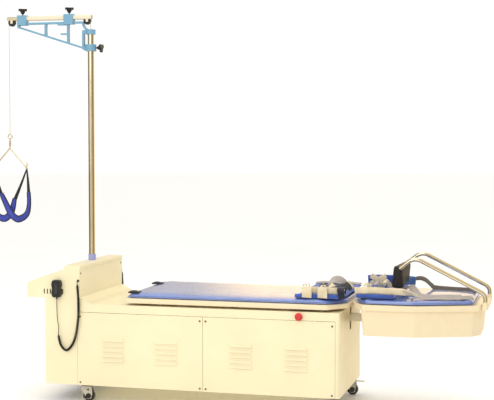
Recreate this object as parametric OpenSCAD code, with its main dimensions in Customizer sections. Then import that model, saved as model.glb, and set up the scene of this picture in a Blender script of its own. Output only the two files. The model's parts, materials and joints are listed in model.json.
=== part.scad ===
// Cervical and lumbar traction bed: a cabinet on castors, a sliding deck, a tilting leg section
// and a mast with an arm, pulleys, a rope and a head sling.
// +X runs towards the foot end, +Z is up, the floor is z = 0 and y = 0 is the middle plane.

/* [Cabinet] */
// Width of the cabinet and the bed
bed_w = 637; // [600:1:680]
// Height of the cabinet's lower edge above the floor
lift = 95; // [90:1:110]
// X of the seam between the head housing and the first side panel
seam_x = -735; // [-760:1:-720]
// Length of one side panel
panel_l = 700; // [680:1:720]
// Height of the side panels
panel_h = 393; // [380:1:400]
// Height of the sheet strip above the side panels
strip_h = 44; // [40:1:50]
// Thickness of the cabinet's sheet metal
sheet = 2; // [1.5:0.5:3]
// Length of the wrapped corner at the foot end
corner_l = 22; // [18:1:28]
// Louvres in one group
louvres = 5; // [3:1:6]

/* [Console] */
// Length of the head housing under the console
housing_l = 187; // [180:1:200]
// How far the console reaches past the housing
nose_l = 103; // [90:1:110]
// Height of the console's underside above the cabinet's lower edge
nose_z = 464; // [455:1:470]
// Height of the console's upright nose
nose_h = 79; // [70:1:85]
// Height of the top of the slope above the cabinet's lower edge
slope_z = 619; // [610:1:625]
// Thickness of the cap on the console
cap_h = 22; // [18:1:26]
// Vent slots in each side of the console
vents = 7; // [5:1:8]

/* [Deck] */
// X of the deck's head end
deck_x = -472; // [-480:1:-450]
// Length of the deck
deck_l = 1192; // [1170:1:1200]
// Thickness of the deck tray
tray_h = 26; // [22:1:28]
// Thickness of the cushions
cushion_h = 28; // [24:1:32]
// Gap between the cabinet's top and the deck
deck_gap = 12; // [10:1:14]

/* [Leg section] */
// X of the leg section's head end
leg_x = 739; // [736:1:745]
// Length of the leg section
leg_l = 671; // [650:1:690]
// Depth of the shell under the rim
shell_h = 131; // [120:1:145]
// Width of the leg rest frame between its tube centres
rest_w = 330; // [300:1:340]
// Outer radius of the leg rest's tube
rest_r = 10.5; // [10:0.5:12]

/* [Mast and arm] */
// X of the mast
mast_x = -777; // [-780:1:-774]
// Outer radius of the mast
mast_r = 17.5; // [16:0.5:18]
// Height of the mast's top
mast_top = 2015; // [1900:1:2050]
// Height of the arm tube's centre above the mast's top
arm_rise = 71.5; // [68:0.5:75]
// Radius of the pulleys
pulley_r = 22; // [20:1:24]
// X of the rope that carries the sling
rope_x = -1271.5; // [-1275:0.5:-1268]
// Radius of the rope
rope_r = 2; // [1.5:0.5:2]

/* [Castors] */
// Radius of the castor wheels
wheel_r = 30; // [28:1:32]
// How far a wheel trails behind its swivel
trail = 30; // [26:1:34]

/* [Handsets] */
// Outer diameter of the curly cord's coils
coil_d = 14; // [11:1:14]
// Diameter of the cord itself
cord_d = 4.2; // [4:0.1:5]

/* [Hidden] */

$fn = 48;
fit = 0.05;           // radial clearance of a running fit
eps = 0.5;            // how far a cut runs past a face
half_w = bed_w / 2;
inner_w = half_w - sheet;
panel_top = lift + panel_h;
top_z = panel_top + strip_h;
mid_x = seam_x + panel_l;
end_seam_x = seam_x + 2 * panel_l;
end_x = end_seam_x + corner_l;
housing_x = seam_x - housing_l;
nose_x = housing_x - nose_l;
front_x = seam_x + 13;
ramp_top = lift + 472;
ramp_x = front_x + 67;
slope_x = front_x - 89;
cap_z = lift + slope_z;
cap_top = cap_z + cap_h;
cream = "#f3e3bd";
blue = "#4a62b8";
black = "#26262a";
steel = "#c9bda6";
bracket_blue = "#6ea3cf";

// ---------- helpers ----------
function unit(v) = v / norm(v);
function wrap(a) = a > 180 ? a - 360 : a < -180 ? a + 360 : a;
// Arc of radius r that rounds the corner b between a and c, in n steps
function corner(a, b, c, r, n) =
    let (u = unit(a - b), v = unit(c - b), half = acos(u * v) / 2,
         mid = b + unit(u + v) * r / sin(half),
         p = b + u * r / tan(half) - mid, q = b + v * r / tan(half) - mid,
         a0 = atan2(p.y, p.x), turn = wrap(atan2(q.y, q.x) - a0))
    [for (i = [0:n]) mid + r * [cos(a0 + turn * i / n), sin(a0 + turn * i / n)]];
function rounded(pts, r, n = 5) =
    let (m = len(pts))
    [for (i = [0:m - 1]) each corner(pts[(i + m - 1) % m], pts[i], pts[(i + 1) % m], r, n)];
// Outline moved inwards by d, for a convex counter-clockwise outline
function shifted(p, q, d) = let (t = unit(q - p)) [p + d * [-t.y, t.x], t];
function inset(pts, d) =
    let (m = len(pts))
    [for (i = [0:m - 1])
        let (a = shifted(pts[(i + m - 1) % m], pts[i], d), b = shifted(pts[i], pts[(i + 1) % m], d),
             k = cross(b[0] - a[0], b[1]) / cross(a[1], b[1]))
        a[0] + k * a[1]];

module box(low, high) {
    translate(low) cube(high - low);
}
// Round bar from p to q
module rod(p, q, r) {
    d = q - p;
    translate(p) rotate([0, acos(d.z / norm(d)), atan2(d.y, d.x)]) cylinder(r = r, h = norm(d));
}
module along_y(x, z, y0, y1, r) {
    translate([x, y1, z]) rotate([90, 0, 0]) cylinder(r = r, h = y1 - y0);
}
module along_x(y, z, x0, x1, r) {
    translate([x0, y, z]) rotate([0, 90, 0]) cylinder(r = r, h = x1 - x0);
}
// Extrudes an outline given in X and Z from y0 to y1
module slab_y(pts, y0, y1) {
    translate([0, y1, 0]) rotate([90, 0, 0]) linear_extrude(y1 - y0) polygon(pts);
}
module both_sides() {
    children();
    mirror([0, 1, 0]) children();
}
// Tube swept along a list of points with a regular section of n sides
function sweep_axes(path) =
    [for (i = [0:len(path) - 1])
        let (t = unit(path[min(i + 1, len(path) - 1)] - path[max(i - 1, 0)]),
             s = unit(cross(t, [0.02, 1, 0.03])))
        [s, cross(t, s)]];
module sweep(path, r, n) {
    axes = sweep_axes(path);
    m = len(path);
    polyhedron(
        [for (i = [0:m - 1]) for (k = [0:n - 1])
            path[i] + r * (cos(360 * k / n) * axes[i][0] + sin(360 * k / n) * axes[i][1])],
        concat([[for (k = [0:n - 1]) k]],
            [for (i = [0:m - 2]) for (k = [0:n - 1])
                [(i + 1) * n + k, (i + 1) * n + (k + 1) % n, i * n + (k + 1) % n, i * n + k]],
            [[for (k = [0:n - 1]) m * n - 1 - k]]));
}
// Smooth curve through the points, with steps points on each stretch
function smooth(pts, steps) =
    let (m = len(pts))
    [for (i = [0:m - 2]) for (j = [0:steps - 1])
        let (t = j / steps, p0 = pts[max(i - 1, 0)], p1 = pts[i], p2 = pts[i + 1],
             p3 = pts[min(i + 2, m - 1)])
        0.5 * (2 * p1 + (p2 - p0) * t + (2 * p0 - 5 * p1 + 4 * p2 - p3) * t * t
            + (3 * p1 - p0 - 3 * p2 + p3) * t * t * t),
     pts[m - 1]];

// ---------- cabinet ----------
tube_w = 30;
frame_x0 = housing_x + sheet + 2;
frame_x1 = end_x - sheet - 9;
frame_y = inner_w - tube_w / 2 - 1;
weld = 0.2;           // gap that keeps the frame's tubes separate solids
foot_beam_z = 340;
module long_tube(y, z, x0, x1) {
    difference() {
        box([x0, y - tube_w / 2, z], [x1, y + tube_w / 2, z + tube_w]);
        box([x0 - eps, y - tube_w / 2 + sheet, z + sheet],
            [x1 + eps, y + tube_w / 2 - sheet, z + tube_w - sheet]);
    }
}
module cross_tube(x, z) {
    reach = frame_y - tube_w / 2 - weld;
    difference() {
        box([x - tube_w / 2, -reach, z], [x + tube_w / 2, reach, z + tube_w]);
        box([x - tube_w / 2 + sheet, -reach - eps, z + sheet],
            [x + tube_w / 2 - sheet, reach + eps, z + tube_w - sheet]);
    }
}
module post(x, y, z0, z1) {
    difference() {
        box([x - tube_w / 2, y - tube_w / 2, z0], [x + tube_w / 2, y + tube_w / 2, z1]);
        box([x - tube_w / 2 + sheet, y - tube_w / 2 + sheet, z0 - eps],
            [x + tube_w / 2 - sheet, y + tube_w / 2 - sheet, z1 + eps]);
    }
}
castor_x = [seam_x + 15, end_seam_x - 40];
castor_y = 262;
plate_t = 5;
stem_r = 8;
actuator_x = 400;
module base_frame() {
    low = lift + 2;
    high = top_z - sheet - tube_w;
    posts = [frame_x0 + tube_w / 2, seam_x, mid_x, frame_x1 - tube_w / 2];
    color("dimgray") {
        for (s = [-1, 1]) {
            long_tube(s * frame_y, low, frame_x0, frame_x1);
            difference() {
                long_tube(s * frame_y, high, seam_x - tube_w / 2, frame_x1);
                along_y(estop_x, estop_z, -half_w, -frame_y, estop_stem_r + 1.5);
            }
            for (i = [0:3])
                post(posts[i], s * frame_y, low + tube_w + weld, (i == 0 ? lift + nose_z : high) - weld);
            // castor plates
            for (x = castor_x)
                difference() {
                    box([x - 35, s * castor_y - 33, lift - plate_t],
                        [x + 35, s * castor_y + 33, lift + 2 - weld]);
                    translate([x, s * castor_y, lift - plate_t - eps]) cylinder(r = stem_r, h = 20);
                }
        }
        for (x = [posts[0], drum_x, actuator_x, posts[3]]) cross_tube(x, low);
        cross_tube(posts[3], foot_beam_z - tube_w);
        cross_tube(seam_x, high);
    }
}

slot_y = 235;
slot_half = 14;
slot_x0 = -350;
slot_x1 = 425;
link_y = -90;
module top_cover() {
    outer = [[front_x, panel_top + fit], [front_x, ramp_top], [ramp_x, top_z], [end_seam_x, top_z],
        [end_seam_x, panel_top + fit]];
    skin = [[front_x - eps, panel_top - eps], [front_x - eps, ramp_top - sheet - 1],
        [ramp_x - 1, top_z - sheet], [end_seam_x + eps, top_z - sheet], [end_seam_x + eps, panel_top - eps]];
    color(cream) difference() {
        union() {
            slab_y(outer, -half_w, half_w);
            translate([0, 0, top_z - sheet]) linear_extrude(sheet) polygon([[end_seam_x - 1, -inner_w + 1],
                [end_x - sheet - 15, -inner_w + 1], [end_x - sheet - 0.2, -inner_w + 15],
                [end_x - sheet - 0.2, inner_w - 15], [end_x - sheet - 15, inner_w - 1],
                [end_seam_x - 1, inner_w - 1]]);
        }
        slab_y(skin, -inner_w, inner_w);
        for (s = [-1, 1])
            box([slot_x0, s * slot_y - slot_half, top_z - sheet - eps],
                [slot_x1, s * slot_y + slot_half, top_z + eps]);
        box([-300, link_y - slot_half, top_z - sheet - eps], [-50, link_y + slot_half, top_z + eps]);
        along_y(estop_x, estop_z, -half_w - eps, -inner_w + eps, estop_stem_r + fit);
    }
}

module head_housing() {
    wall = [[housing_x, lift], [seam_x - 0.2, lift], [seam_x - 0.2, ramp_top], [front_x, ramp_top],
        [front_x, cap_z], [slope_x, cap_z], [nose_x, lift + nose_z + nose_h], [nose_x, lift + nose_z],
        [housing_x, lift + nose_z]];
    hollow = [[housing_x + sheet, lift - eps], [seam_x + eps, lift - eps], [seam_x + eps, ramp_top + sheet],
        [front_x + eps, ramp_top + sheet], [front_x + eps, cap_z + eps], [slope_x, cap_z + eps],
        [slope_x + 0.4, cap_z - sheet], [nose_x + sheet, lift + nose_z + nose_h - sheet + 0.7],
        [nose_x + sheet, lift + nose_z + sheet], [housing_x + sheet, lift + nose_z + sheet]];
    color(cream) difference() {
        union() {
            slab_y(wall, -half_w, half_w);
            both_sides() hook();
        }
        slab_y(hollow, -inner_w, inner_w);
        for (i = [0:vents - 1]) {
            x = housing_x - 3 + i * 17.8;
            box([x - 3, -half_w - eps, 580], [x + 3, half_w + eps, 607]);
        }
        box([housing_x - eps, power_y - 26, 166], [housing_x + sheet + eps, power_y + 26, 196]);
    }
}
// Hook that a handset hangs on
handset_x = -846;
hook_z = 612;
module hook() {
    box([handset_x - 8, half_w - 1, hook_z], [handset_x + 8, half_w + 8, hook_z + 7]);
    box([handset_x - 8, half_w + 5, hook_z], [handset_x + 8, half_w + 8, hook_z + 28]);
}

arm_slot_half = 24;
arm_slot_z = 405;
module foot_end_cover() {
    outline = [[end_seam_x + 0.2, -half_w], [end_x, -half_w], [end_x, half_w], [end_seam_x + 0.2, half_w]];
    round_r = 16;
    outer = concat([outline[0]], corner(outline[0], outline[1], outline[2], round_r, 6),
        corner(outline[1], outline[2], outline[3], round_r, 6), [outline[3]]);
    color(cream) difference() {
        translate([0, 0, lift]) linear_extrude(top_z - lift) polygon(outer);
        translate([0, 0, lift - eps]) linear_extrude(top_z - lift + 2 * eps)
            polygon(concat([[end_seam_x - 1, -inner_w]],
                corner([end_seam_x, -inner_w], [end_x - sheet, -inner_w], [end_x - sheet, inner_w],
                    round_r - sheet, 6),
                corner([end_x - sheet, -inner_w], [end_x - sheet, inner_w], [end_seam_x, inner_w],
                    round_r - sheet, 6),
                [[end_seam_x - 1, inner_w]]));
        box([end_x - 5, -arm_slot_half, arm_slot_z], [end_x + eps, arm_slot_half, top_z + eps]);
    }
}

louvre_w = 120;
louvre_pitch = 27.5;
louvre_top = lift + 241;
louvre_off = 147;
screw_in = 16;
screw_r = 2;
screw_head_r = 5.2;
panel_gap = 1.8;        // shadow gap round each panel
panel_starts = [seam_x, mid_x];
function panel_screw_points() = [for (x = panel_starts) for (dx = [screw_in, panel_l - screw_in])
    for (z = [lift + 15, panel_top - 24]) [x + dx, z]];
module louvre(x, z) {
    profile = [[0, 14], [-7, 5.5], [-7.6, 1], [-6.4, 1], [-5.8, 5], [0, 12.2]];
    translate([x - louvre_w / 2, -half_w, z]) rotate([90, 0, 90])
        linear_extrude(louvre_w) polygon(profile);
}
module side_panel_pair() {
    difference() {
        for (x = panel_starts)
            box([x + panel_gap / 2, -half_w, lift],
                [x + panel_l - panel_gap / 2, -inner_w, panel_top - panel_gap]);
        for (p = panel_screw_points())
            along_y(p.x, p.y, -half_w - eps, -inner_w + eps, screw_r + fit);
        for (x = panel_starts) for (s = [-1, 1]) for (i = [0:louvres - 1]) {
            cx = x + panel_l / 2 + s * louvre_off;
            z = louvre_top - i * louvre_pitch;
            box([cx - louvre_w / 2 + 3, -half_w - eps, z + 3],
                [cx + louvre_w / 2 - 3, -inner_w + eps, z + 10]);
        }
    }
    for (x = panel_starts) for (s = [-1, 1]) for (i = [0:louvres - 1])
        louvre(x + panel_l / 2 + s * louvre_off, louvre_top - i * louvre_pitch);
}
module side_panels() {
    color(cream) both_sides() side_panel_pair();
}
module screw_head(x, z) {
    along_y(x, z, -half_w - 1.8, -half_w, screw_head_r);
    along_y(x, z, -half_w - 0.5, -half_w + 2.7, screw_r);
}
front_screw_y = 300;
front_screw_z = cap_z - 21;
module panel_screws() {
    color("silver") {
        both_sides() for (p = panel_screw_points()) screw_head(p.x, p.y);
        for (s = [-1, 1]) {
            along_x(s * front_screw_y, front_screw_z, front_x, front_x + 1.8, screw_head_r);
            along_x(s * front_screw_y, front_screw_z, front_x - 8, front_x + 0.5, screw_r);
        }
    }
}

// ---------- console ----------
socket_r = 21;
module console_cap() {
    profile = rounded([[slope_x - 1, cap_z], [front_x + 3, cap_z], [front_x + 3, cap_top],
        [slope_x + 6, cap_top]], 2.5, 3);
    color(cream) difference() {
        slab_y(profile, -half_w - 1, half_w + 1);
        translate([mast_x, 0, cap_z - eps]) cylinder(r = socket_r + 0.3, h = cap_h + 2 * eps);
        box([slope_x + 14, -inner_w + 4, cap_z - eps], [front_x - 4, inner_w - 4, cap_top - 4]);
    }
}
module console_front_panel() {
    color(cream) difference() {
        box([front_x - sheet, -inner_w + 0.3, ramp_top + sheet + 0.3], [front_x, inner_w - 0.3, cap_z - 0.3]);
        for (s = [-1, 1])
            along_x(s * front_screw_y, front_screw_z, front_x - sheet - eps, front_x + eps, screw_r + fit);
    }
}
slope_a = atan2(slope_z - nose_z - nose_h, slope_x - nose_x);
slope_len = norm([slope_x - nose_x, slope_z - nose_z - nose_h]);
module control_panel() {
    color("#e8e4d8") translate([nose_x, 0, lift + nose_z + nose_h]) rotate([0, -slope_a, 0]) {
        difference() {
            box([16, -270, 0.1], [slope_len - 18, 270, 3]);
            box([95, -120, 2], [165, 60, 3 + eps]);
        }
        box([98, -117, 2.02], [162, 57, 2.8]);
        for (i = [0:3]) for (j = [0:2])
            translate([105 + 24 * j, 105 + 30 * i, 3]) cylinder(r = 8, h = 1.2);
        for (i = [0:5])
            translate([50, -200 + 46 * i, 3]) cylinder(r = 10, h = 1.2);
    }
}

// ---------- mast ----------
socket_low = 620;
module mast_socket() {
    color("#8f93d6") difference() {
        union() {
            translate([mast_x, 0, socket_low]) cylinder(r = socket_r, h = cap_top + 34 - socket_low);
            translate([mast_x, 0, cap_z - 12.3]) cylinder(r = 31, h = 12);
        }
        translate([mast_x, 0, socket_low + 10]) cylinder(r = mast_r + fit, h = 300);
        translate([mast_x, 0, socket_low - eps]) cylinder(r = 6, h = 30);
    }
}
module mast() {
    color(steel) translate([mast_x, 0, socket_low + 10]) difference() {
        cylinder(r = mast_r, h = mast_top - socket_low - 10);
        translate([0, 0, -eps]) cylinder(r = mast_r - 2, h = mast_top);
    }
}

// ---------- drives inside the cabinet ----------
drum_r = 25;
drum_z = 330;
drum_x = mast_x - drum_r - rope_r;
module winch_motor() {
    color("slategray") {
        along_y(drum_x, drum_z, 42, 150, 34);
        box([drum_x - 40, 30, drum_z - 40], [drum_x + 40, 42, drum_z + 40]);
        along_y(drum_x, drum_z, -24, 30, 8);
        box([drum_x - 40, 30, lift + 2 + tube_w + 0.3], [drum_x + 40, 36, drum_z - 39]);
        box([drum_x - 40, 30, lift + 2 + tube_w + 0.3], [drum_x + 40, 150, lift + 8 + tube_w]);
    }
}
module winch_drum() {
    color("darkgray") difference() {
        union() {
            along_y(drum_x, drum_z, -20, 20, drum_r);
            for (y = [-20, 17]) along_y(drum_x, drum_z, y, y + 3, drum_r + 10);
        }
        along_y(drum_x, drum_z, -25, 25, 8 + fit);
    }
}
module rope_in_mast() {
    color("ivory") translate([mast_x, 0, drum_z + 6]) cylinder(r = rope_r, h = mast_top - 20 - drum_z - 6);
}

rail_z = 490;
rail_r = 10;
block_x = [-170, 390];
hang_y = frame_y - tube_w / 2 - 0.3; // inner side of the frame's long tubes
module deck_guide_rails() {
    color("silver") both_sides() {
        along_x(slot_y, rail_z, -402, 500, rail_r);
        for (x = [-402, 480])
            box([x, slot_y - 16, rail_z - 18], [x + 20, hang_y, rail_z + 36]);
    }
}
module deck_bearing_blocks() {
    color("gray") both_sides() for (x = block_x) {
        difference() {
            box([x - 30, slot_y - 19, rail_z - 19], [x + 30, slot_y + 19, rail_z + 19]);
            along_x(slot_y, rail_z, x - 31, x + 31, rail_r + fit);
        }
        box([x - 20, slot_y - 9, rail_z + 18], [x + 20, slot_y + 9, top_z + deck_gap]);
    }
}
link_z = 470;
link_r = 14;
rod_end_x = -100;
module actuators() {
    color("#555a60") {
        // deck actuator, along the bed
        difference() {
            union() {
                box([seam_x + 15.3, link_y - 45, link_z - 50], [seam_x + 110, link_y + 45, link_z + 40]);
                along_x(link_y, link_z, seam_x + 110, -340, 22);
            }
            along_x(link_y, link_z, seam_x + 100, -339, link_r + fit);
        }
        // tilt actuator, upright under the lever
        difference() {
            union() {
                box([actuator_x - 35, -40, lift + 2 + tube_w + 0.3], [actuator_x + 35, 40, 210]);
                translate([actuator_x, 0, 209]) cylinder(r = 21, h = 400 - 209);
            }
            translate([actuator_x, 0, 215]) cylinder(r = 12 + fit, h = 200);
        }
    }
}
module deck_actuator_rod() {
    color("silver") {
        along_x(link_y, link_z, -480, rod_end_x + 12, link_r);
        box([rod_end_x - 12, link_y - 9, link_z - 10], [rod_end_x + 12, link_y + 9, top_z + deck_gap]);
    }
}
power_y = -175;
module power_unit() {
    color("#3a3d42") {
        box([housing_x + 8, power_y - 70, lift + 2 + tube_w + 0.3],
            [housing_x + 120, power_y + 70, lift + 150]);
        box([housing_x - 1.5, power_y - 25, 167], [housing_x + 36, power_y + 25, 195]);
    }
}

// ---------- deck ----------
deck_z = top_z + deck_gap;
deck_top = deck_z + tray_h;
deck_end = deck_x + deck_l;
deck_outline = [[deck_x, -half_w], [deck_end - 101, -half_w], [deck_end, -half_w + 108],
    [deck_end, half_w - 108], [deck_end - 101, half_w], [deck_x, half_w]];
cushion_in = 10;
module deck_tray() {
    color(cream) translate([0, 0, deck_z]) linear_extrude(tray_h) polygon(rounded(deck_outline, 22));
}
module deck_cushion() {
    color(blue) translate([0, 0, deck_top]) linear_extrude(cushion_h)
        polygon(rounded(inset(deck_outline, cushion_in), 18));
}
module soft_block(low, high, r) {
    translate([0, 0, low.z]) linear_extrude(high.z - low.z)
        polygon(rounded([[low.x, low.y], [high.x, low.y], [high.x, high.y], [low.x, high.y]], r, 4));
}
lie = 0.3;            // clearance under what lies on a cushion
deck_soft = deck_top + cushion_h + lie;
module thoracic_belt() {
    color("#3f5fb5") soft_block([445, -290, deck_soft], [700, 290, deck_soft + 14], 20);
    // folded webbing on both long sides, and the loop between them
    color("#cbb795") {
        soft_block([440, -298, deck_soft + 13], [702, -236, deck_soft + 60], 12);
        soft_block([440, 236, deck_soft + 13], [702, 298, deck_soft + 30], 12);
        soft_block([530, -150, deck_soft + 13], [698, 150, deck_soft + 56], 12);
        soft_block([545, -60, deck_soft + 55], [680, 60, deck_soft + 88], 14);
    }
    // lumps where the belt's long straps are held at the head end
    color(black) {
        soft_block([deck_x + 16, -300, deck_soft], [deck_x + 78, -245, deck_soft + 14], 9);
        soft_block([deck_x + 4, 110, deck_soft], [deck_x + 62, 165, deck_soft + 14], 9);
    }
}

// ---------- leg section ----------
leg_z = lift + 456;
leg_top = leg_z + tray_h + 2;
leg_end = leg_x + leg_l;
leg_wide_x = 1060;     // where the leg section starts to narrow
leg_outline = [[leg_x, -218], [leg_x + 63, -half_w], [leg_wide_x, -half_w], [leg_end - 40, -204],
    [leg_end, -132], [leg_end, 132], [leg_end - 40, 204], [leg_wide_x, half_w], [leg_x + 63, half_w],
    [leg_x, 218]];
shell_outline = [[leg_x + 36, -205], [leg_x + 54, -half_w + 12], [leg_wide_x, -half_w + 12],
    [leg_end - 66, -198], [leg_end - 24, -126], [leg_end - 24, 126], [leg_end - 66, 198],
    [leg_wide_x, half_w - 12], [leg_x + 54, half_w - 12], [leg_x + 36, 205]];
pivot_x = 525;
pivot_z = 470;
arm_half = 20;
hinge_x = 1399;
hinge_z = 584;
hinge_pin_r = 5;
module leg_shell(grow, h, shrink) {
    c = [(leg_x + leg_end) / 2, 0];
    translate([c.x, 0, leg_z]) mirror([0, 0, 1]) linear_extrude(h, scale = shrink)
        polygon([for (p = rounded(inset(shell_outline, grow), 16)) p - c]);
}
module leg_tray() {
    color(cream) {
        difference() {
            union() {
                translate([0, 0, leg_z]) linear_extrude(tray_h + 2) polygon(rounded(leg_outline, 20));
                // lugs that the leg rest's pins sit in
                both_sides() for (y = [rest_w / 2 - 24, rest_w / 2 + 16])
                    hull() {
                        along_y(hinge_x, hinge_z, y, y + 8, 11);
                        box([hinge_x - 16, y, leg_z + 4], [hinge_x + 10, y + 8, leg_z + 14]);
                    }
            }
            both_sides() box([hinge_x - 22, rest_w / 2 - 15.5, leg_z + 12],
                [leg_end + 1, rest_w / 2 + 15.5, leg_top + 1]);
        }
        // the hollow shell under the rim
        difference() {
            translate([0, 0, -weld]) leg_shell(0, shell_h, 0.965);
            translate([0, 0, 1]) leg_shell(4, shell_h + 2, 0.965);
            // way in for the arm
            box([leg_x - 20, -arm_half - 12, 432], [leg_x + 60, arm_half + 12, 512]);
        }
    }
    color("silver") both_sides() along_y(hinge_x, hinge_z, rest_w / 2 - 20, rest_w / 2 + 20, hinge_pin_r);
}
module leg_cushion() {
    color(blue) translate([0, 0, leg_top]) linear_extrude(cushion_h)
        polygon(rounded(inset([[leg_x, -218], [leg_x + 63, -half_w], [leg_wide_x, -half_w],
            [1360, -207], [1360, 207], [leg_wide_x, half_w], [leg_x + 63, half_w], [leg_x, 218]],
            cushion_in), 18));
}
module leg_arm() {
    color(cream) {
        difference() {
            box([390, -arm_half, pivot_z - arm_half], [leg_x + 420, arm_half, pivot_z + arm_half]);
            along_y(pivot_x, pivot_z, -arm_half - eps, arm_half + eps, 10 + fit);
            // slot for the tilt rod's pin
            for (s = [-1, 1])
                along_y(actuator_x + 5 * s, pivot_z, -arm_half - eps, arm_half + eps, 7.6);
            box([actuator_x - 5, -arm_half - eps, pivot_z - 7.6],
                [actuator_x + 5, arm_half + eps, pivot_z + 7.6]);
        }
        for (x = [leg_x + 80, leg_x + 380])
            box([x, -60, pivot_z + arm_half], [x + 30, 60, leg_z - weld]);
    }
}
module leg_pivot() {
    color("dimgray") {
        box([pivot_x - 20, -hang_y, 400], [pivot_x + 20, hang_y, 430]);
        both_sides() box([pivot_x - 20, arm_half + 4, 425], [pivot_x + 20, arm_half + 16, pivot_z + 22]);
        along_y(pivot_x, pivot_z, -arm_half - 20, arm_half + 20, 10);
        both_sides() box([pivot_x - 20, hang_y - 24, 428], [pivot_x + 20, hang_y, rail_z + 36]);
    }
}
module tilt_rod() {
    color("silver") {
        translate([actuator_x, 0, 270]) cylinder(r = 12, h = 162);
        difference() {
            box([actuator_x - 12, -arm_half - 10, 424], [actuator_x + 12, arm_half + 10, pivot_z + 13]);
            box([actuator_x - 13, -arm_half - 2, 440], [actuator_x + 13, arm_half + 2, pivot_z + 14]);
        }
        along_y(actuator_x, pivot_z, -arm_half - 9, arm_half + 9, 6);
    }
}
leg_soft = leg_top + cushion_h + lie;
module pelvic_belt() {
    color("#3f5fb5") soft_block([760, -285, leg_soft], [960, 285, leg_soft + 14], 20);
    color("#cbb795") {
        soft_block([752, -290, leg_soft + 13], [1000, -232, leg_soft + 54], 12);
        soft_block([770, -120, leg_soft + 13], [900, 120, leg_soft + 50], 12);
    }
    // back of the belt, standing up
    color("#3f5fb5") soft_block([745, 183, leg_soft + 13], [1010, 240, leg_soft + 68], 14);
    // straps that run on to the foot end, and those that slope down to them
    color("#9a9298") translate([0, 0, leg_soft]) {
        both_sides() linear_extrude(13) polygon([[940, 225], [1340, 120], [1340, 180], [940, 285]]);
        linear_extrude(50) polygon([[985, -287], [985, -232], [1070, -205], [1070, -260]]);
        linear_extrude(34) polygon([[890, -70], [890, 20], [996, 0], [1060, -75], [1060, -165], [996, -90]]);
        linear_extrude(54) polygon([[996, -90], [996, 0], [1060, -75], [1060, -165]]);
    }
    color(black) translate([0, 0, leg_soft]) linear_extrude(57)
        polygon([[1000, 176], [1000, 240], [1100, 232], [1100, 168]]);
}

bar_x = 956;          // cross bar that carries the pad
bar_z = 741;
bar_r = 9;
rest_path = [[hinge_x, hinge_z + 8], [1402, 630], [1042, 810], [bar_x - 5, bar_z - 4.3]];
module rest_rails(r) {
    both_sides() sweep([for (p = concat([rest_path[0]],
        corner(rest_path[0], rest_path[1], rest_path[2], 42, 8),
        corner(rest_path[1], rest_path[2], rest_path[3], 62, 9), [rest_path[3]]))
        [p.x, rest_w / 2, p.y]], r, 16);
}
module leg_rest_frame() {
    color(steel) {
        rest_rails(rest_r);
        both_sides() difference() {
            along_y(hinge_x, hinge_z, rest_w / 2 - 14, rest_w / 2 + 14, 13);
            along_y(hinge_x, hinge_z, rest_w / 2 - 15, rest_w / 2 + 15, hinge_pin_r + fit);
        }
        along_y(bar_x, bar_z, -rest_w / 2 + 4, rest_w / 2 - 4, bar_r);
    }
}
// Wrap round the cross bar and the ends of the rails
module leg_rest_pad() {
    color(black) difference() {
        hull() {
            slab_y(rounded([[925, 647], [987, 647], [979, 765], [938, 768]], 8, 4),
                -rest_w / 2 - 15, -rest_w / 2 - 14);
            slab_y(rounded([[925, 647], [974, 647], [986, 754], [942, 757]], 8, 4),
                rest_w / 2 + 14, rest_w / 2 + 15);
        }
        rest_rails(rest_r + 0.4);
        along_y(bar_x, bar_z, -rest_w / 2, rest_w / 2, bar_r + 0.4);
    }
}

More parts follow.
